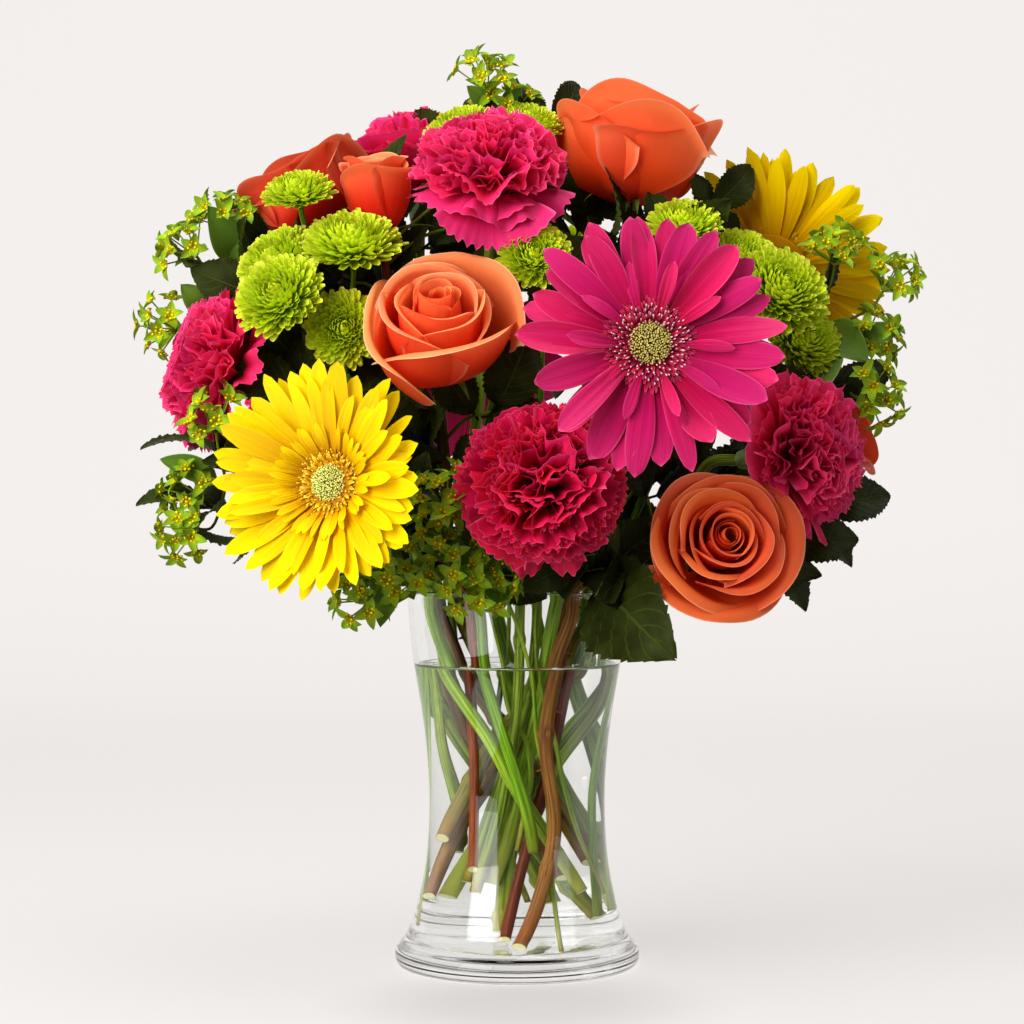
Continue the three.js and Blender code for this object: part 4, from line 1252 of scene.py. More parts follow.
def carnation_petals(rng, radius, height):
    """Fans: at the distance s and angle w from the claw, the sheet's point is s cos w along
    and s sin w across, raised by ruffles that grow with s. The lengthwise line bends
    outwards in an arc, and teeth along the rim lengthen and shorten s.
    """
    rows, cols, count = 14, 45, CARNATION_PETALS
    u = np.linspace(0, 1, rows)[None, :, None] ** 0.8
    v = np.linspace(-1, 1, cols)[None, None, :]
    stage = ((np.arange(count) + 0.5) / count)[:, None, None]
    azimuth = (np.arange(count) * GOLDEN_ANGLE + rng.normal(0, 0.2, count))[:, None, None]

    def vary(mean, spread):
        return rng.normal(mean, spread, count)[:, None, None]

    calyx = height * CALYX_SHARE
    length = (radius - 3) * vary(1, 0.05) * (0.98 - 0.10 * stage)
    fan = (0.52 + 0.22 * stage) * vary(1, 0.16)
    teeth = np.abs(((v * 6.5 + azimuth) % 1) - 0.5) * 2
    fine_teeth = np.abs(((v * 15 + azimuth * 3) % 1) - 0.5)
    s = length * u * (1 + u**6 * (0.06 * (teeth - 0.5) + 0.075 * fine_teeth))
    w = v * fan * (0.16 + 0.84 * np.clip(u / 0.5, 0, 1) ** 1.4)
    along, across = s * np.cos(w), s * np.sin(w)
    waves = vary(2.3, 0.7)
    ruffle = np.sin(waves * np.pi * v + azimuth * 5) + 0.45 * np.sin(2.3 * waves * np.pi * v + azimuth * 9)
    lift = vary(3.6, 1.4) * (1.2 - 0.35 * stage) * u**2.2 * ruffle
    lift = lift + vary(0, 3.4) * u**3 + 3.4 * np.abs(v) ** 2 * u**2 * vary(0.3, 0.7)
    first = 1.52 - 0.62 * stage + vary(0, 0.09)
    bend = (0.10 + 1.25 * stage**1.4 + vary(0, 0.34)) / length
    pitch = first - bend * along
    bend = np.where(np.abs(bend) < 1e-4, 1e-4, bend)
    out = 1.4 + 2.6 * stage + (np.sin(first) - np.sin(pitch)) / bend - np.sin(pitch) * lift
    up = calyx - 2 + (np.cos(pitch) - np.cos(first)) / bend + np.cos(pitch) * lift
    x = out * np.cos(azimuth) - across * np.sin(azimuth)
    y = out * np.sin(azimuth) + across * np.cos(azimuth)
    return sheets(np.stack([x, y, np.minimum(up, height + 6)], axis=-1), rng.random(count))


def carnation_calyx(rng, height):
    """A green tube with five teeth, and two pairs of scales around its foot."""
    tall = height * CALYX_SHARE
    shape = [
        (0.01, 0), (3.2, 0), (4.4, 0.10 * tall), (5.6, 0.35 * tall), (6.4, 0.7 * tall),
        (6.9, tall), (6.0, tall + 0.4), (0.01, tall - 3),
    ]
    teeth = blades(spokes(5), (6.6, tall - 3), 8, 6.5, [1, 0.95, 0.7, 0.35, 0.03],
                   np.linspace(1.4, 1.1, 5), 0.35, cols=5)
    scales = blades(spokes(4), (4.2, 0.2), 9, 6, [0.8, 1, 0.9, 0.5, 0.04],
                    np.linspace(1.25, 1.5, 5), 0.6, cols=5)
    return joined([
        turned_part(shape, 24, [0, 0.6, 0.5]), sheets(teeth, rng.random(5)), sheets(scales, rng.random(4)),
    ])


CARNATION_SKINS = {
    "pink": petal_material(
        "pink_carnation", seen(196, 2, 40), seen(228, 14, 78), seen(244, 54, 118), seen(252, 104, 156),
        edge_width=0.05, veins=0.25, vein_scale=14.0, variation=0.3, roughness=0.55, glow=0.28,
        back=(1.0, 1.0, 1.1),
    ),
    "crimson": petal_material(
        "crimson_carnation", seen(168, 2, 26), seen(204, 6, 46), seen(226, 26, 80), seen(248, 96, 138),
        edge_width=0.04, veins=0.25, vein_scale=14.0, variation=0.35, roughness=0.55, glow=0.26,
        back=(1.0, 1.0, 1.1),
    ),
}
for order, (name, (_, seat, facing, _, height, colour)) in enumerate(CARNATIONS.items()):
    rng = np.random.default_rng(120 + order)
    petals = seated(carnation_petals(rng, CARNATION_REACH, height), seat, facing)
    skin = CARNATION_SKINS[colour]
    add_marked(name + "_petals", petals, "petal", skin, name + "_bloom")
    calyx = seated(carnation_calyx(rng, height), seat, facing)
    add_marked(name + "_calyx", calyx, "petal", carnation_leaf, name + "_bloom")

# ---------------------------------------------------------------------------
# Button chrysanthemum sprays: ribbed green stems that fork below their blooms.
# ---------------------------------------------------------------------------

# Each spray: its main line, its stem radius, and each bloom's seat, facing and radius.
SPRAYS = {
    "left": (
        [(8, -30, 63), (5, -33, 82), (-2, -36, 108), (-7, -36, 124), (-16, -33, 157),
         (-21, -31, 195), (-58, -44, 262), (-86, -52, 304)],
        2.9,
        [((-113, -64, 337), (-0.35, -0.8, 0.45), 18), ((-116, -36, 355), (-0.5, -0.6, 0.6), 17.5),
         ((-82, -52, 359), (0, -0.55, 0.83), 19.5), ((-109, -40, 389), (-0.1, -0.5, 0.85), 14),
         ((-86, -58, 325), (0.05, -0.95, 0.1), 15)],
    ),
    "top": (
        [(-36, 10, 30), (-34, 14, 90), (-33, 14, 157), (-34, 12, 195), (-20, 8, 260), (-6, 2, 330),
         (-4, -2, 385)],
        2.4,
        [((-26, -6, 424), (-0.3, -0.5, 0.8), 16), ((5, -6, 428), (0.1, -0.5, 0.85), 14),
         ((8, -70, 358), (0.05, -0.9, 0.4), 14)],
    ),
    "right": (
        [(34, -5, 25), (33, -8, 90), (36, -4, 117), (44, 0, 157), (48, 3, 195), (78, -4, 270),
         (104, -8, 312)],
        2.4,
        [((84, -44, 372), (0, -0.6, 0.8), 15), ((112, -30, 358), (0.1, -0.7, 0.7), 15),
         ((128, -48, 340), (0.3, -0.8, 0.5), 19), ((140, -26, 318), (0.5, -0.75, 0.4), 17),
         ((103, -36, 326), (-0.1, -0.95, 0.1), 14)],
    ),
    "back": (
        [(37, 10, 24), (29, 21, 78), (16, 37, 157), (9, 46, 195), (12, 76, 270), (14, 96, 340)],
        2.5,
        [((2, 104, 384), (-0.1, 0.7, 0.7), 17), ((30, 106, 372), (0.2, 0.75, 0.6), 16)],
    ),
}
TWIG_NECK = 5


def nearest_on(line, place):
    """The point of the straight line between two points that is nearest to a place."""
    first, last = np.array(line, float)
    share = np.clip(np.dot(place - first, last - first) / np.dot(last - first, last - first), 0, 1)
    return first + share * (last - first)


def twig_line(line, place, facing):
    """A side shoot from the last stretch of a stem to a seat, reached the way it faces."""
    place, facing = np.array(place, float), unit(facing)
    points = [nearest_on(line[-2:], place), place - facing * TWIG_NECK, place - facing * SEAT_GAP]
    return smooth_line(np.array(points) * MM, 14)


spray_skin = stem_material(
    "spray_stem", seen(112, 150, 18), seen(54, 88, 6), seen(92, 100, 20), 0.03, 0.15, 0.5
)
TWIG_RADIUS = 1.4 * MM
for name, (points, radius, blooms) in SPRAYS.items():
    line = smooth_line(np.array(points) * MM, 110, even=True)
    shoots = [tube(twig_line(points, *bloom[:2]), TWIG_RADIUS, 8) for bloom in blooms]
    main = tube(line, radius * MM * np.linspace(1.04, 0.8, len(line)), 20, lobes=0.05)
    add_marked(f"button_spray_{name}_stalks", joined([main, *shoots]), "stem", spray_skin,
               f"button_spray_{name}_stem")

# ---------------------------------------------------------------------------
# Button chrysanthemums: low domes packed with narrow lime-green florets, short
# and upright in the middle, longer and flatter towards the rim.
# ---------------------------------------------------------------------------

BUTTON_FLORETS = 260
# The florets reach this much beyond the radius of the plain bloom.
BUTTON_FLUFF = 1.28
BUTTON_OUTLINE = [0.6, 0.75, 0.9, 1.0, 1.0, 0.92, 0.5]


def button_florets(rng, radius):
    """Quilled straps set in a sunflower spiral over a small dome, bent in at their tips."""
    count = BUTTON_FLORETS
    stage = (np.arange(count) + 0.5) / count
    polar = np.sqrt(stage) * 1.78
    azimuth = np.arange(count) * GOLDEN_ANGLE + rng.normal(0, 0.05, count)
    radius = BUTTON_FLUFF * radius
    core = 0.46 * radius
    root = np.stack([core * np.sin(polar), 0.42 * radius + 0.62 * core * np.cos(polar)], axis=1)
    length = radius * (0.24 + 0.40 * stage**0.8) * rng.normal(1, 0.06, count)
    start = np.pi / 2 - 0.92 * polar + rng.normal(0, 0.06, count)
    u = np.linspace(0, 1, len(BUTTON_OUTLINE))
    inward = (0.9 - 0.35 * stage)[:, None] * u**1.6 + rng.normal(0, 0.12, (count, 1)) * u
    straps = blades(
        azimuth, root, length, radius * (0.13 + 0.08 * stage), BUTTON_OUTLINE,
        start[:, None] + inward, channel=0.6, twist=rng.normal(0, 0.25, count), cols=5,
    )
    return sheets(straps, rng.random(count))


def button_heart(radius):
    """The dark green inside of the dome and the cup of bracts under it."""
    shares = [(0.30, 0.16), (0.46, 0.34), (0.48, 0.52), (0.34, 0.68)]
    outline = [(0.01, 0.2), (1.5, 0.2), *np.array(shares) * radius, (0.01, 0.76 * radius)]
    return turned_part(outline, 20, [0, 0.1, 0.3])


button_skin = petal_material(
    "lime_floret", seen(118, 156, 2), seen(190, 214, 8), seen(222, 234, 36), seen(244, 246, 110),
    edge_width=0.2, veins=0.15, vein_scale=4.0, variation=0.3, roughness=0.5, glow=0.25,
    back=(0.9, 0.95, 0.55),
)
for order, (name, (_, _, blooms)) in enumerate(SPRAYS.items()):
    for number, (seat, facing, radius) in enumerate(blooms, 1):
        rng = np.random.default_rng(200 + 10 * order + number)
        bloom = seated(joined([button_florets(rng, radius), button_heart(radius)]), seat, facing)
        add_marked(f"button_mum_{name}_{number}", bloom, "petal", button_skin,
                   f"button_bloom_{name}_{number}")

# ---------------------------------------------------------------------------
# Bupleurum sprigs: wiry stems that fork into umbels. Each umbel carries small
# stars of pointed green bracts around specks of yellow flower, and the forks
# sit in skirts of broad bracts. Oval leaves grow from the stems.
# ---------------------------------------------------------------------------

SPRIGS = {
    "left": (
        [(0, -17, 62), (3, -16, 80), (6, -19, 100), (4, -20, 119), (-3, -18.5, 135), (-7, -20, 157),
         (-16, -11, 195), (-24, 4, 240), (-68, -12, 298), (-134, -4, 356)],
        [(-172, -20, 376), (-152, -12, 394), (-186, -16, 332)],
    ),
    "low_left": (
        [(-41, 5, 16), (-38, 6, 60), (-37, 1, 120), (-38, -1, 157), (-50, 2, 196),
         (-104, -34, 222), (-146, -46, 250)],
        [(-168, -52, 248), (-170, -56, 226), (-150, -70, 286)],
    ),
    "front": (
        [(21, -42, 12), (16, -31, 52), (13, -25, 100), (9, -25, 120), (6, -33, 157),
         (-8, -44, 197), (-24, -74, 214)],
        [(-36, -98, 248), (-40, -92, 232), (-34, -96, 212), (-58, -92, 206), (-80, -94, 196),
         (-72, -100, 212), (-8, -86, 208), (-18, -92, 200)],
    ),
    "top": (
        [(4, 12, 30), (-3, 9, 60), (-8, 17, 112), (-5, 18, 157), (-4, 16, 195), (-6, 20, 320),
         (-10, 10, 420)],
        [(-16, -6, 466), (-6, 4, 452)],
    ),
    "right": (
        [(40, -10, 38), (28, -15, 68), (21, -19, 96), (17, -20, 118), (12, -22, 140),
         (10, -25, 157), (12, -22, 195), (34, -20, 216), (72, 6, 258), (118, 4, 296),
         (150, -8, 326)],
        [(188, -18, 328), (185, -40, 296), (196, -14, 360), (165, -24, 374)],
    ),
}
SPRIG_RADIUS = 1.2 * MM
SHOOT_RADIUS = 0.8 * MM

sprig_stem_skin = stem_material(
    "sprig_stem", seen(136, 160, 40), seen(84, 112, 22), seen(112, 100, 36), 0.04, 0.1, 0.5
)
bract_green = petal_material(
    "bract_green", seen(206, 200, 16), seen(150, 178, 24), seen(104, 148, 24), seen(176, 200, 90),
    edge_width=0.2, veins=0.4, vein_scale=4.0, variation=0.5, roughness=0.5, glow=0.2,
    back=(1.0, 1.05, 1.1),
)
yellow_speck = petal_material(
    "yellow_speck", seen(190, 168, 4), seen(232, 200, 4), seen(248, 216, 10), seen(250, 222, 20),
    edge_width=0.1, veins=0.1, variation=0.5, glow=0.1,
)
round_leaf_skin = petal_material(
    "round_leaf", seen(136, 160, 50), seen(104, 138, 40), seen(86, 120, 34), seen(160, 184, 96),
    edge_width=0.1, veins=0.45, vein_scale=3.0, variation=0.2, roughness=0.5, glow=0.2,
    back=(1.1, 1.12, 1.25),
)


UMBEL_RADIUS = 15.0
UMBELLETS = 9
# How far below an umbel's centre its rays fork and its shoot bends, in umbel radii.
FORK_DEPTH = 0.9
BEND_DEPTH = 1.6
RAY_SHAPE = [(0, 0.01), (0.01, 1), (0.99, 1), (1, 0.01)]
STAR_BRACTS = 5
STAR_OUTLINE = [0.35, 0.85, 1.0, 0.88, 0.55, 0.05]
SPECKS = 9
SPECK_SHAPE = [(0, 0.2), (0.5, 0.4), (0.8, 1), (1, 0.02)]
SKIRT_BRACTS = 3
SKIRT_OUTLINE = [0.35, 0.8, 1, 1, 0.85, 0.55, 0.04]


def umbel(rng, fork, upward):
    """Rays fan out from the fork to umbellets on a shallow dome. Each umbellet is a star of
    pointed bracts around a tuft of specks. Returns rays, bracts and specks.
    """
    share = (np.arange(UMBELLETS) + 0.5) / UMBELLETS
    angle = np.arange(UMBELLETS) * GOLDEN_ANGLE + rng.random() * 6
    lean = np.sqrt(share) * 1.05
    out = np.stack([np.sin(lean) * np.cos(angle), np.sin(lean) * np.sin(angle), np.cos(lean)], 1)
    out = out @ turned_to(upward)
    tips = fork + out * UMBEL_RADIUS * rng.uniform(0.95, 1.35, (UMBELLETS, 1))
    length = np.linalg.norm(tips - fork, axis=1)
    rods = knobs(fork + 0 * tips, tips - fork, length, 0.42, RAY_SHAPE, np.full(UMBELLETS, 0.5))
    bracts, specks = [], []
    for tip, way in zip(tips, out):
        azimuth = spokes(STAR_BRACTS) + rng.normal(0, 0.2, STAR_BRACTS)
        pitch = np.linspace(0.75, 0.1, 6) + rng.normal(0, 0.22, (STAR_BRACTS, 1))
        length = rng.uniform(6.0, 9.8, STAR_BRACTS)
        star = blades(azimuth, (0.5, -0.4), length, 4.9, STAR_OUTLINE, pitch, 0.5, cols=5)
        facing = way + rng.normal(0, 0.25, 3)
        bracts.append(placed(sheets(star, rng.random(STAR_BRACTS)), tip, facing))
        around, distance = spiral(SPECKS, 0.2, 2.5)
        place = np.stack([distance * np.cos(around), distance * np.sin(around), 0.6 + 0 * around], 1)
        toward = place * [0.5, 0.5, 0] + [0, 0, 1]
        length = rng.uniform(1.2, 2.6, SPECKS)
        tuft = knobs(place, toward, length, 0.85, SPECK_SHAPE, rng.random(SPECKS))
        specks.append(placed(tuft, tip, facing))
    return rods, bracts, specks


def skirt(rng, fork, upward):
    """The broad bracts around the fork of an umbel's rays."""
    azimuth = spokes(SKIRT_BRACTS) + rng.random() * 6
    length = rng.uniform(11, 15, SKIRT_BRACTS)
    pitch = np.linspace(0.7, 0.05, len(SKIRT_OUTLINE))
    leafy = blades(azimuth, (0.6, 0), length, 8.5, SKIRT_OUTLINE, pitch, 0.3, cols=7)
    return placed(sheets(leafy, rng.random(SKIRT_BRACTS)), fork, upward)


def leaf_blade(rng, base, tip, facing, width, shape, rows, turn=1):
    """A leaf in millimetres from its base to its tip. shape gives how far along, aside and
    towards its facing the point u along and v across it lies. Its skin's front looks to its
    facing where turn is -1, and its skin's back where turn is 1.
    """
    base, tip = np.array(base, float), np.array(tip, float)
    along = unit(tip - base)
    side = unit(np.cross(along, facing))
    normal = np.cross(side, along)
    u, v = np.linspace(0, 1, rows)[:, None], turn * np.linspace(-1, 1, 11)[None, :]
    forward, aside, lift = shape(rng, u, v, np.linalg.norm(tip - base), width)
    place = base + along * forward[..., None] + side * aside[..., None] + normal * lift[..., None]
    return sheets(place[None], rng.random(1))


def round_blade(rng, u, v, length, width):
    """An oval, pointed blade: cupped along its midrib, arched and a little wavy."""
    half = width / 2 * np.sin(np.pi * u**0.8) ** 0.75
    arch = 0.10 * length * np.sin(np.pi * u) * rng.uniform(0.4, 1.4)
    wave = 0.03 * width * np.sin(6 * u + 3 * v + rng.random() * 6) * np.abs(v)
    return length * u + 0 * v, half * v, arch + 0.25 * half * v**2 + wave


# Oval leaves as (base, tip, facing, width) in millimetres, by sprig.
SPRIG_LEAVES = {
    "left": [
        ((-146, -8, 366), (-158, -26, 392), (0.2, -0.9, 0.3), 20),
        ((-140, -6, 360), (-146, -14, 384), (-0.2, -0.95, 0.2), 13),
        ((-158, -12, 340), (-172, -24, 352), (-0.3, -0.9, 0.2), 15),
    ],
    "low_left": [
        ((-150, -50, 252), (-178, -58, 262), (0, -0.9, 0.4), 14),
        ((-132, -46, 244), (-142, -78, 262), (0.2, -0.9, 0.3), 16),
        ((-120, -40, 232), (-128, -60, 214), (0, -0.95, 0), 14),
    ],
    "front": [
        ((-22, -72, 212), (-46, -104, 218), (0.1, -0.9, 0.3), 16),
        ((-12, -58, 204), (-10, -86, 184), (0.1, -0.9, 0.2), 17),
        ((-52, -84, 206), (-74, -100, 212), (0, -0.9, 0.5), 15),
        ((-60, -88, 202), (-66, -102, 180), (-0.2, -0.95, 0), 13),
    ],
    "top": [
        ((-8, 14, 440), (0, 2, 462), (0.3, -0.9, 0.1), 13),
        ((-12, 6, 444), (-26, -8, 456), (-0.3, -0.9, 0.3), 12),
        ((-6, 8, 430), (-2, -6, 446), (0.2, -0.95, 0.1), 12),
    ],
    "right": [
        ((150, -8, 326), (150, -50, 292), (0.1, -0.95, 0.2), 30),
        ((156, -12, 330), (178, -34, 312), (0.1, -0.95, 0.1), 22),
        ((152, -10, 336), (146, -30, 358), (0, -0.9, 0.4), 16),
        ((172, -16, 322), (198, -22, 330), (0.2, -0.9, 0.3), 13),
    ],
}

for order, (name, (points, clusters)) in enumerate(SPRIGS.items()):
    rng = np.random.default_rng(300 + order)
    line = smooth_line(np.array(points) * MM, 110, even=True)
    wires = [tube(line, SPRIG_RADIUS * np.linspace(1.05, 0.7, len(line)), 8)]
    bracts, specks = [], []
    for centre in np.array(clusters, float):
        start = nearest_on(points[-2:], centre)
        upward = unit(unit(centre - start) + [0, -0.5, 0.6])
        bend = centre - upward * UMBEL_RADIUS * BEND_DEPTH
        fork = centre - upward * UMBEL_RADIUS * FORK_DEPTH
        wires.append(tube(smooth_line(np.array([start, bend, fork]) * MM, 12), SHOOT_RADIUS, 7))
        rods, stars, tufts = umbel(rng, fork, upward)
        wires.append(in_metres(rods))
        bracts += [*stars, skirt(rng, fork, upward)]
        specks += tufts
    leaves = [leaf_blade(rng, *leaf, round_blade, 12) for leaf in SPRIG_LEAVES[name]]
    for label, part, mark_name, material in (
        ("wires", joined(wires), "stem", sprig_stem_skin),
        ("bracts", in_metres(joined(bracts)), "petal", bract_green),
        ("flowers", in_metres(joined(specks)), "petal", yellow_speck),
        ("leaves", in_metres(joined(leaves)), "petal", round_leaf_skin),
    ):
        add_marked(f"sprig_{name}_{label}", part, mark_name, material, f"bupleurum_{name}")

# ---------------------------------------------------------------------------
# Rose leaves: dark, toothed, folded along the midrib and arched, some single on
# the stems and some in threes on long stalks that fill the room between heads.
# ---------------------------------------------------------------------------

# Leaves that show, by rose: (base, tip, facing, width) in millimetres.
ROSE_LEAVES = {
    "rose_lower_right": [
        ((44, -40, 204), (70, -108, 168), (0.0, -1.0, -0.25), 54),
        ((80, -43, 209), (152, -54, 206), (0.1, -0.9, 0.3), 26),
    ],
    "rose_left_back": [((-66, 4, 270), (-150, 10, 352), (-0.3, -0.9, 0.1), 40)],
    "rose_bud": [((-54, -16, 260), (-150, -76, 262), (-0.2, -0.95, 0.1), 30)],
    "rose_right_back": [((80, 32, 226), (150, 70, 216), (0.1, 0.8, -0.5), 34)],
    "rose_back": [((38, 42, 236), (20, 104, 226), (-0.2, 0.85, -0.5), 36)],
    "rose_front": [],
    "rose_top": [],
}
TEETH = 15
TOOTH_DEPTH = 0.15
SIDE_VEINS = 9.0
VEIN_SLANT = 2.2
# The share of a leaf's length that is its own short stalk, and that stalk's half width.
STALK_SHARE = 0.14
STALK_HALF = 0.7


def toothed_blade(_, u, v, length, width):
    """An oval blade with saw teeth: half its width at u is sin(pi u^0.82)^0.8 less the teeth.

    It is folded along the midrib, arched, and puckered between the side veins.
    """
    blade = np.clip((u - STALK_SHARE) / (1 - STALK_SHARE), 0, 1)
    tooth = 1 - TOOTH_DEPTH * ((blade * TEETH) % 1) * np.abs(v) ** 4
    half = width / 2 * (np.sin(np.pi * blade**0.82) ** 0.8) * tooth + STALK_HALF
    arch = 0.12 * length * np.sin(np.pi * u) - 0.10 * length * u**3
    vein = np.cos(2 * np.pi * (SIDE_VEINS * blade - VEIN_SLANT * np.abs(v)))
    pucker = 0.024 * width * vein * np.sin(np.pi * blade)
    fold = 0.34 * half * np.abs(v) ** 1.3
    lift = arch + fold + pucker + 0.06 * width * np.sin(5 * u + 2 * v) * v
    forward = length * (u + 0.05 * np.abs(v) ** 2 * np.sin(np.pi * blade))
    return forward, half * v, lift


def leaf_vein_group():
    """Veins of a leaf from its crosswise and lengthwise places: a midrib and side veins."""
    group, given, out = new_group(
        "leaf_veins", [("Side Veins", "Float"), ("Slant", "Float")], [("Vein", "Float")]
    )
    across, along, _ = petal_place(group)
    across = worked(group, "ABSOLUTE", across)
    midrib = ramp(group, across, 0.0, 0.05, 1.0, 0.0)
    steps = worked(group, "MULTIPLY", along, given["Side Veins"])
    steps = worked(group, "SUBTRACT", steps, worked(group, "MULTIPLY", across, given["Slant"]))
    away = worked(group, "SUBTRACT", worked(group, "FRACT", steps), 0.5)
    side_veins = ramp(group, worked(group, "ABSOLUTE", away), 0.0, 0.09, 0.6, 0.0)
    group.links.new(worked(group, "MAXIMUM", midrib, side_veins), out["Vein"])
    return group


LEAF_VEINS = leaf_vein_group()


def leaf_material(name, dark, light, back):
    """A satin leaf: a dark blade, paler veins in slight grooves, and a paler underside."""
    material, shader = new_material(name, {"Roughness": 0.42, "Specular IOR Level": 0.14})
    tree = material.node_tree
    given = {"Side Veins": SIDE_VEINS, "Slant": VEIN_SLANT}
    veins = wire(tree, "Group", given, node_tree=LEAF_VEINS).outputs["Vein"]
    cloud = noise(tree, wire(tree, "TexCoord", {}).outputs["Object"], 90.0, 4.0)
    lighter = tuple(0.6 * d + 0.4 * p for d, p in zip(dark, light))
    skin = mixed(tree, ramp(tree, cloud, 0.35, 0.7), (*dark, 1), (*lighter, 1))
    skin = mixed(tree, veins, skin, (*light, 1))
    skin = mixed(tree, wire(tree, "NewGeometry", {}).outputs["Backfacing"], skin, (*back, 1))
    height = worked(tree, "SUBTRACT", 1.0, veins)
    bump = wire(tree, "Bump", {"Height": height, "Strength": 0.6, "Distance": 0.0008})
    tree.links.new(skin, shader.inputs["Base Color"])
    tree.links.new(bump.outputs["Normal"], shader.inputs["Normal"])
    lit_through(tree, shader, 0.15, {"Color": skin})
    return material


def head_zones():
    """Each head as (seat, facing, height of its middle, half thickness, radius)."""
    zones = [(d[1], d[2], 12, 15, 0.94 * d[4]) for d in GERBERAS.values()]
    zones += [(d[1], d[2], 0.5 * d[5], 0.55 * d[5], 0.92 * d[4]) for d in ROSES.values()]
    zones += [(d[1], d[2], 0.62 * d[4], 0.42 * d[4], 36) for d in CARNATIONS.values()]
    for _, _, blooms in SPRAYS.values():
        zones += [(seat, facing, 0.6 * size, 0.6 * size, size) for seat, facing, size in blooms]
    return zones


HEAD_ZONES = head_zones()
# Leaves grow from the stems' stretch above the rim.
LEAVES_FROM = 204
LEAF_TRIES = 80
# Half the width of the strip that a leaf needs free of heads.
LEAF_ROOM = 13


def clear_of_heads(places, margin=2.0):
    """True if no place lies in a flower head."""
    for seat, facing, middle, half, radius in HEAD_ZONES:
        away = places - np.array(seat, float) - unit(facing) * middle
        deep = away @ unit(facing)
        wide = np.linalg.norm(away - deep[:, None] * unit(facing), axis=1)
        if np.any((np.abs(deep) < half + margin) & (wide < radius + margin)):
            return False
    return True


def leaves_on(rng, line, wanted, low, high, sizes):
    """Leaves that grow from a stem above the rim, outwards and up, clear of every head, as
    (base, tip, facing, width) rows. low and high are shares of the way along the stem.
    """
    found = []
    for _ in range(wanted * LEAF_TRIES):
        if len(found) == wanted:
            break
        base = line[int(rng.uniform(low, high) * (len(line) - 1))]
        outward = unit(base * [1, 1, 0] + rng.normal(0, 1, 3) * [55, 55, 0] + [1e-6, 0, 0])
        tip = base + unit(outward + [0, 0, rng.uniform(-0.25, 0.9)]) * rng.uniform(*sizes)
        facing = unit(rng.normal(0, 0.5, 3) + outward * 0.6 + [0, -0.5, 0.5])
        spots = base + (tip - base) * np.linspace(0.3, 1, 8)[:, None]
        side = unit(np.cross(tip - base, facing)) * LEAF_ROOM
        strip = np.vstack([spots, spots[:-1] + side, spots[:-1] - side])
        if base[2] > LEAVES_FROM and clear_of_heads(strip):
            found.append((base, tip, facing, np.linalg.norm(tip - base) * rng.uniform(0.5, 0.62)))
    return found


# Places between the heads, (x, y, z) in millimetres, that a leaf of three blades fills. The
# last number is the length of its end blade.
BETWEEN_HEADS = [
    (-44, -8, 372, 46), (-28, -6, 384, 42), (-58, -10, 356, 44), (22, -10, 378, 46), (34, -6, 396, 44),
    (44, -20, 372, 44), (8, 4, 392, 42), (-8, 8, 352, 50), (-20, -18, 344, 46), (30, -30, 338, 50),
    (6, -38, 330, 44), (-96, -20, 322, 46), (-124, -16, 344, 46), (-140, -8, 362, 44),
    (-122, 0, 372, 40), (-146, -44, 262, 44), (-152, -40, 236, 40), (-130, -34, 224, 44),
    (-48, -48, 264, 50), (-12, -52, 286, 48), (-60, -60, 226, 50), (-34, -64, 240, 44),
    (-6, -50, 206, 40), (50, -46, 272, 48), (64, -34, 250, 50), (24, -46, 256, 44),
    (150, -14, 300, 44), (150, -28, 232, 44), (128, -40, 214, 46), (140, -10, 340, 40),
    (98, -2, 392, 34), (-30, 20, 424, 36), (14, 12, 436, 34), (88, -40, 340, 46), (76, -30, 372, 40),
    (-8, 0, 420, 36), (104, -34, 290, 48), (-104, -40, 292, 46), (-70, -34, 300, 50),
    (-84, -30, 352, 44), (-64, 0, 392, 40), (92, -18, 344, 46), (60, -6, 350, 50),
    (-2, -62, 212, 42), (20, -64, 208, 40),
]


# The three blades of a leaf on a stalk: side, how far before the stalk's end it is fixed (as
# a share of the end blade's length), and size.
THREE_BLADES = ((0, 0, 1.0), (1, 0.16, 0.8), (-1, 0.2, 0.8))
STALK_RADIUS = 0.9 * MM


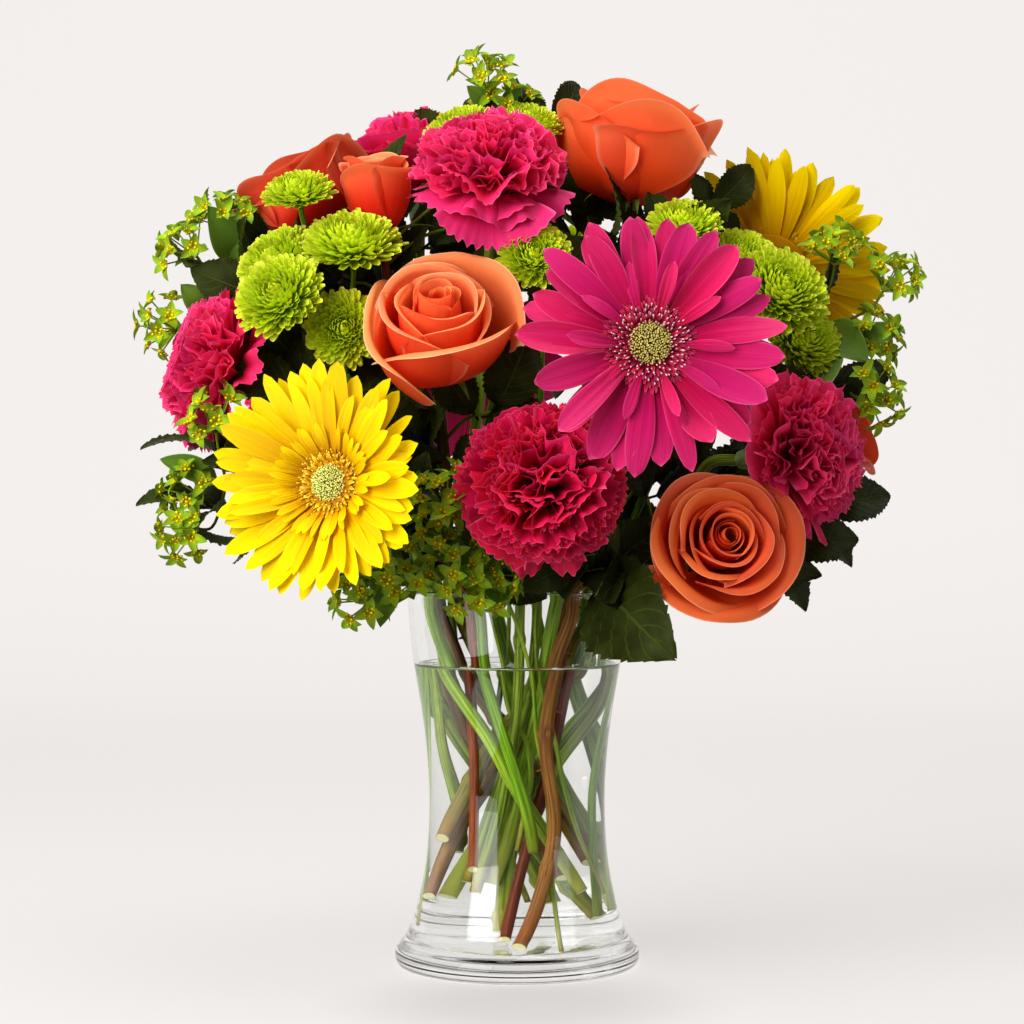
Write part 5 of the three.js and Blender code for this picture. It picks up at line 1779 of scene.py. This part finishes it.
def stalked_leaf(rng, lines, target, length):
    """A leaf of three blades on a long stalk, which grows from the nearest place on a rose
    stem that lies lower and from where it passes no head. Returns the stem's name, the
    stalk's line and the blades' (base, tip, facing, width) rows, or None.
    """
    target = np.array(target, float)
    best = None
    for name, line in lines.items():
        top = max(target[2] - 0.2 * length, LEAVES_FROM + 14)
        rows = line[(line[:, 2] > LEAVES_FROM) & (line[:, 2] < top)]
        for base in rows[::3]:
            away = np.linalg.norm(base - target)
            between = base + (target - base) * np.linspace(0.2, 0.9, 6)[:, None]
            if (best is None or away < best[0]) and away > 12 and clear_of_heads(between, 0.0):
                best = (away, name, base)
    if best is None:
        return None
    _, name, base = best
    outward = unit(target * [1, 1, 0] + [0, -60, 0])
    middle = (base + target) / 2 + outward * 3 + [0, 0, 4]
    stalk = smooth_line(np.array([base, middle, target]) * MM, 12)
    back = unit(target - base)
    forward = unit(back + unit(target * [1, 0.4, 0] + [0, 0, 40]) * 0.8)
    facing = unit(rng.normal(0, 0.25, 3) + outward + [0, 0, 0.25])
    side = unit(np.cross(forward, facing))
    rows = []
    for lean, share, size in THREE_BLADES:
        start = target - back * share * length
        toward = unit(forward + lean * side * rng.uniform(1.2, 1.9))
        wide = length * size * rng.uniform(0.56, 0.66)
        looks = unit(facing + rng.normal(0, 0.2, 3))
        rows.append((start, start + toward * length * size, looks, wide))
    return name, stalk, rows


rose_leaf_skin = leaf_material("rose_leaf", seen(34, 40, 9), seen(68, 80, 27), seen(78, 90, 38))
ROSE_LINES = {name: stem_line(*data[:3], FLOWER_NECK) / MM for name, data in ROSES.items()}
stalks = {name: [] for name in ROSES}
rng = np.random.default_rng(470)
for *target, length in BETWEEN_HEADS:
    found = stalked_leaf(rng, ROSE_LINES, target, length)
    if found:
        name, stalk, rows = found
        stalks[name].append(tube(stalk, STALK_RADIUS, 7))
        ROSE_LEAVES[name] = ROSE_LEAVES[name] + rows
for order, (name, leaves) in enumerate(ROSE_LEAVES.items()):
    rng = np.random.default_rng(400 + order)
    leaves = leaves + leaves_on(rng, ROSE_LINES[name], 22, 0.42, 0.97, (36, 66))
    leafy = joined([leaf_blade(rng, *leaf, toothed_blade, 4 * TEETH + 1, -1) for leaf in leaves])
    add_marked(name + "_leaves", in_metres(leafy), "petal", rose_leaf_skin, name + "_stem")
    if stalks[name]:
        add_marked(name + "_leaf_stalks", joined(stalks[name]), "stem", spray_skin,
                   name + "_stem")
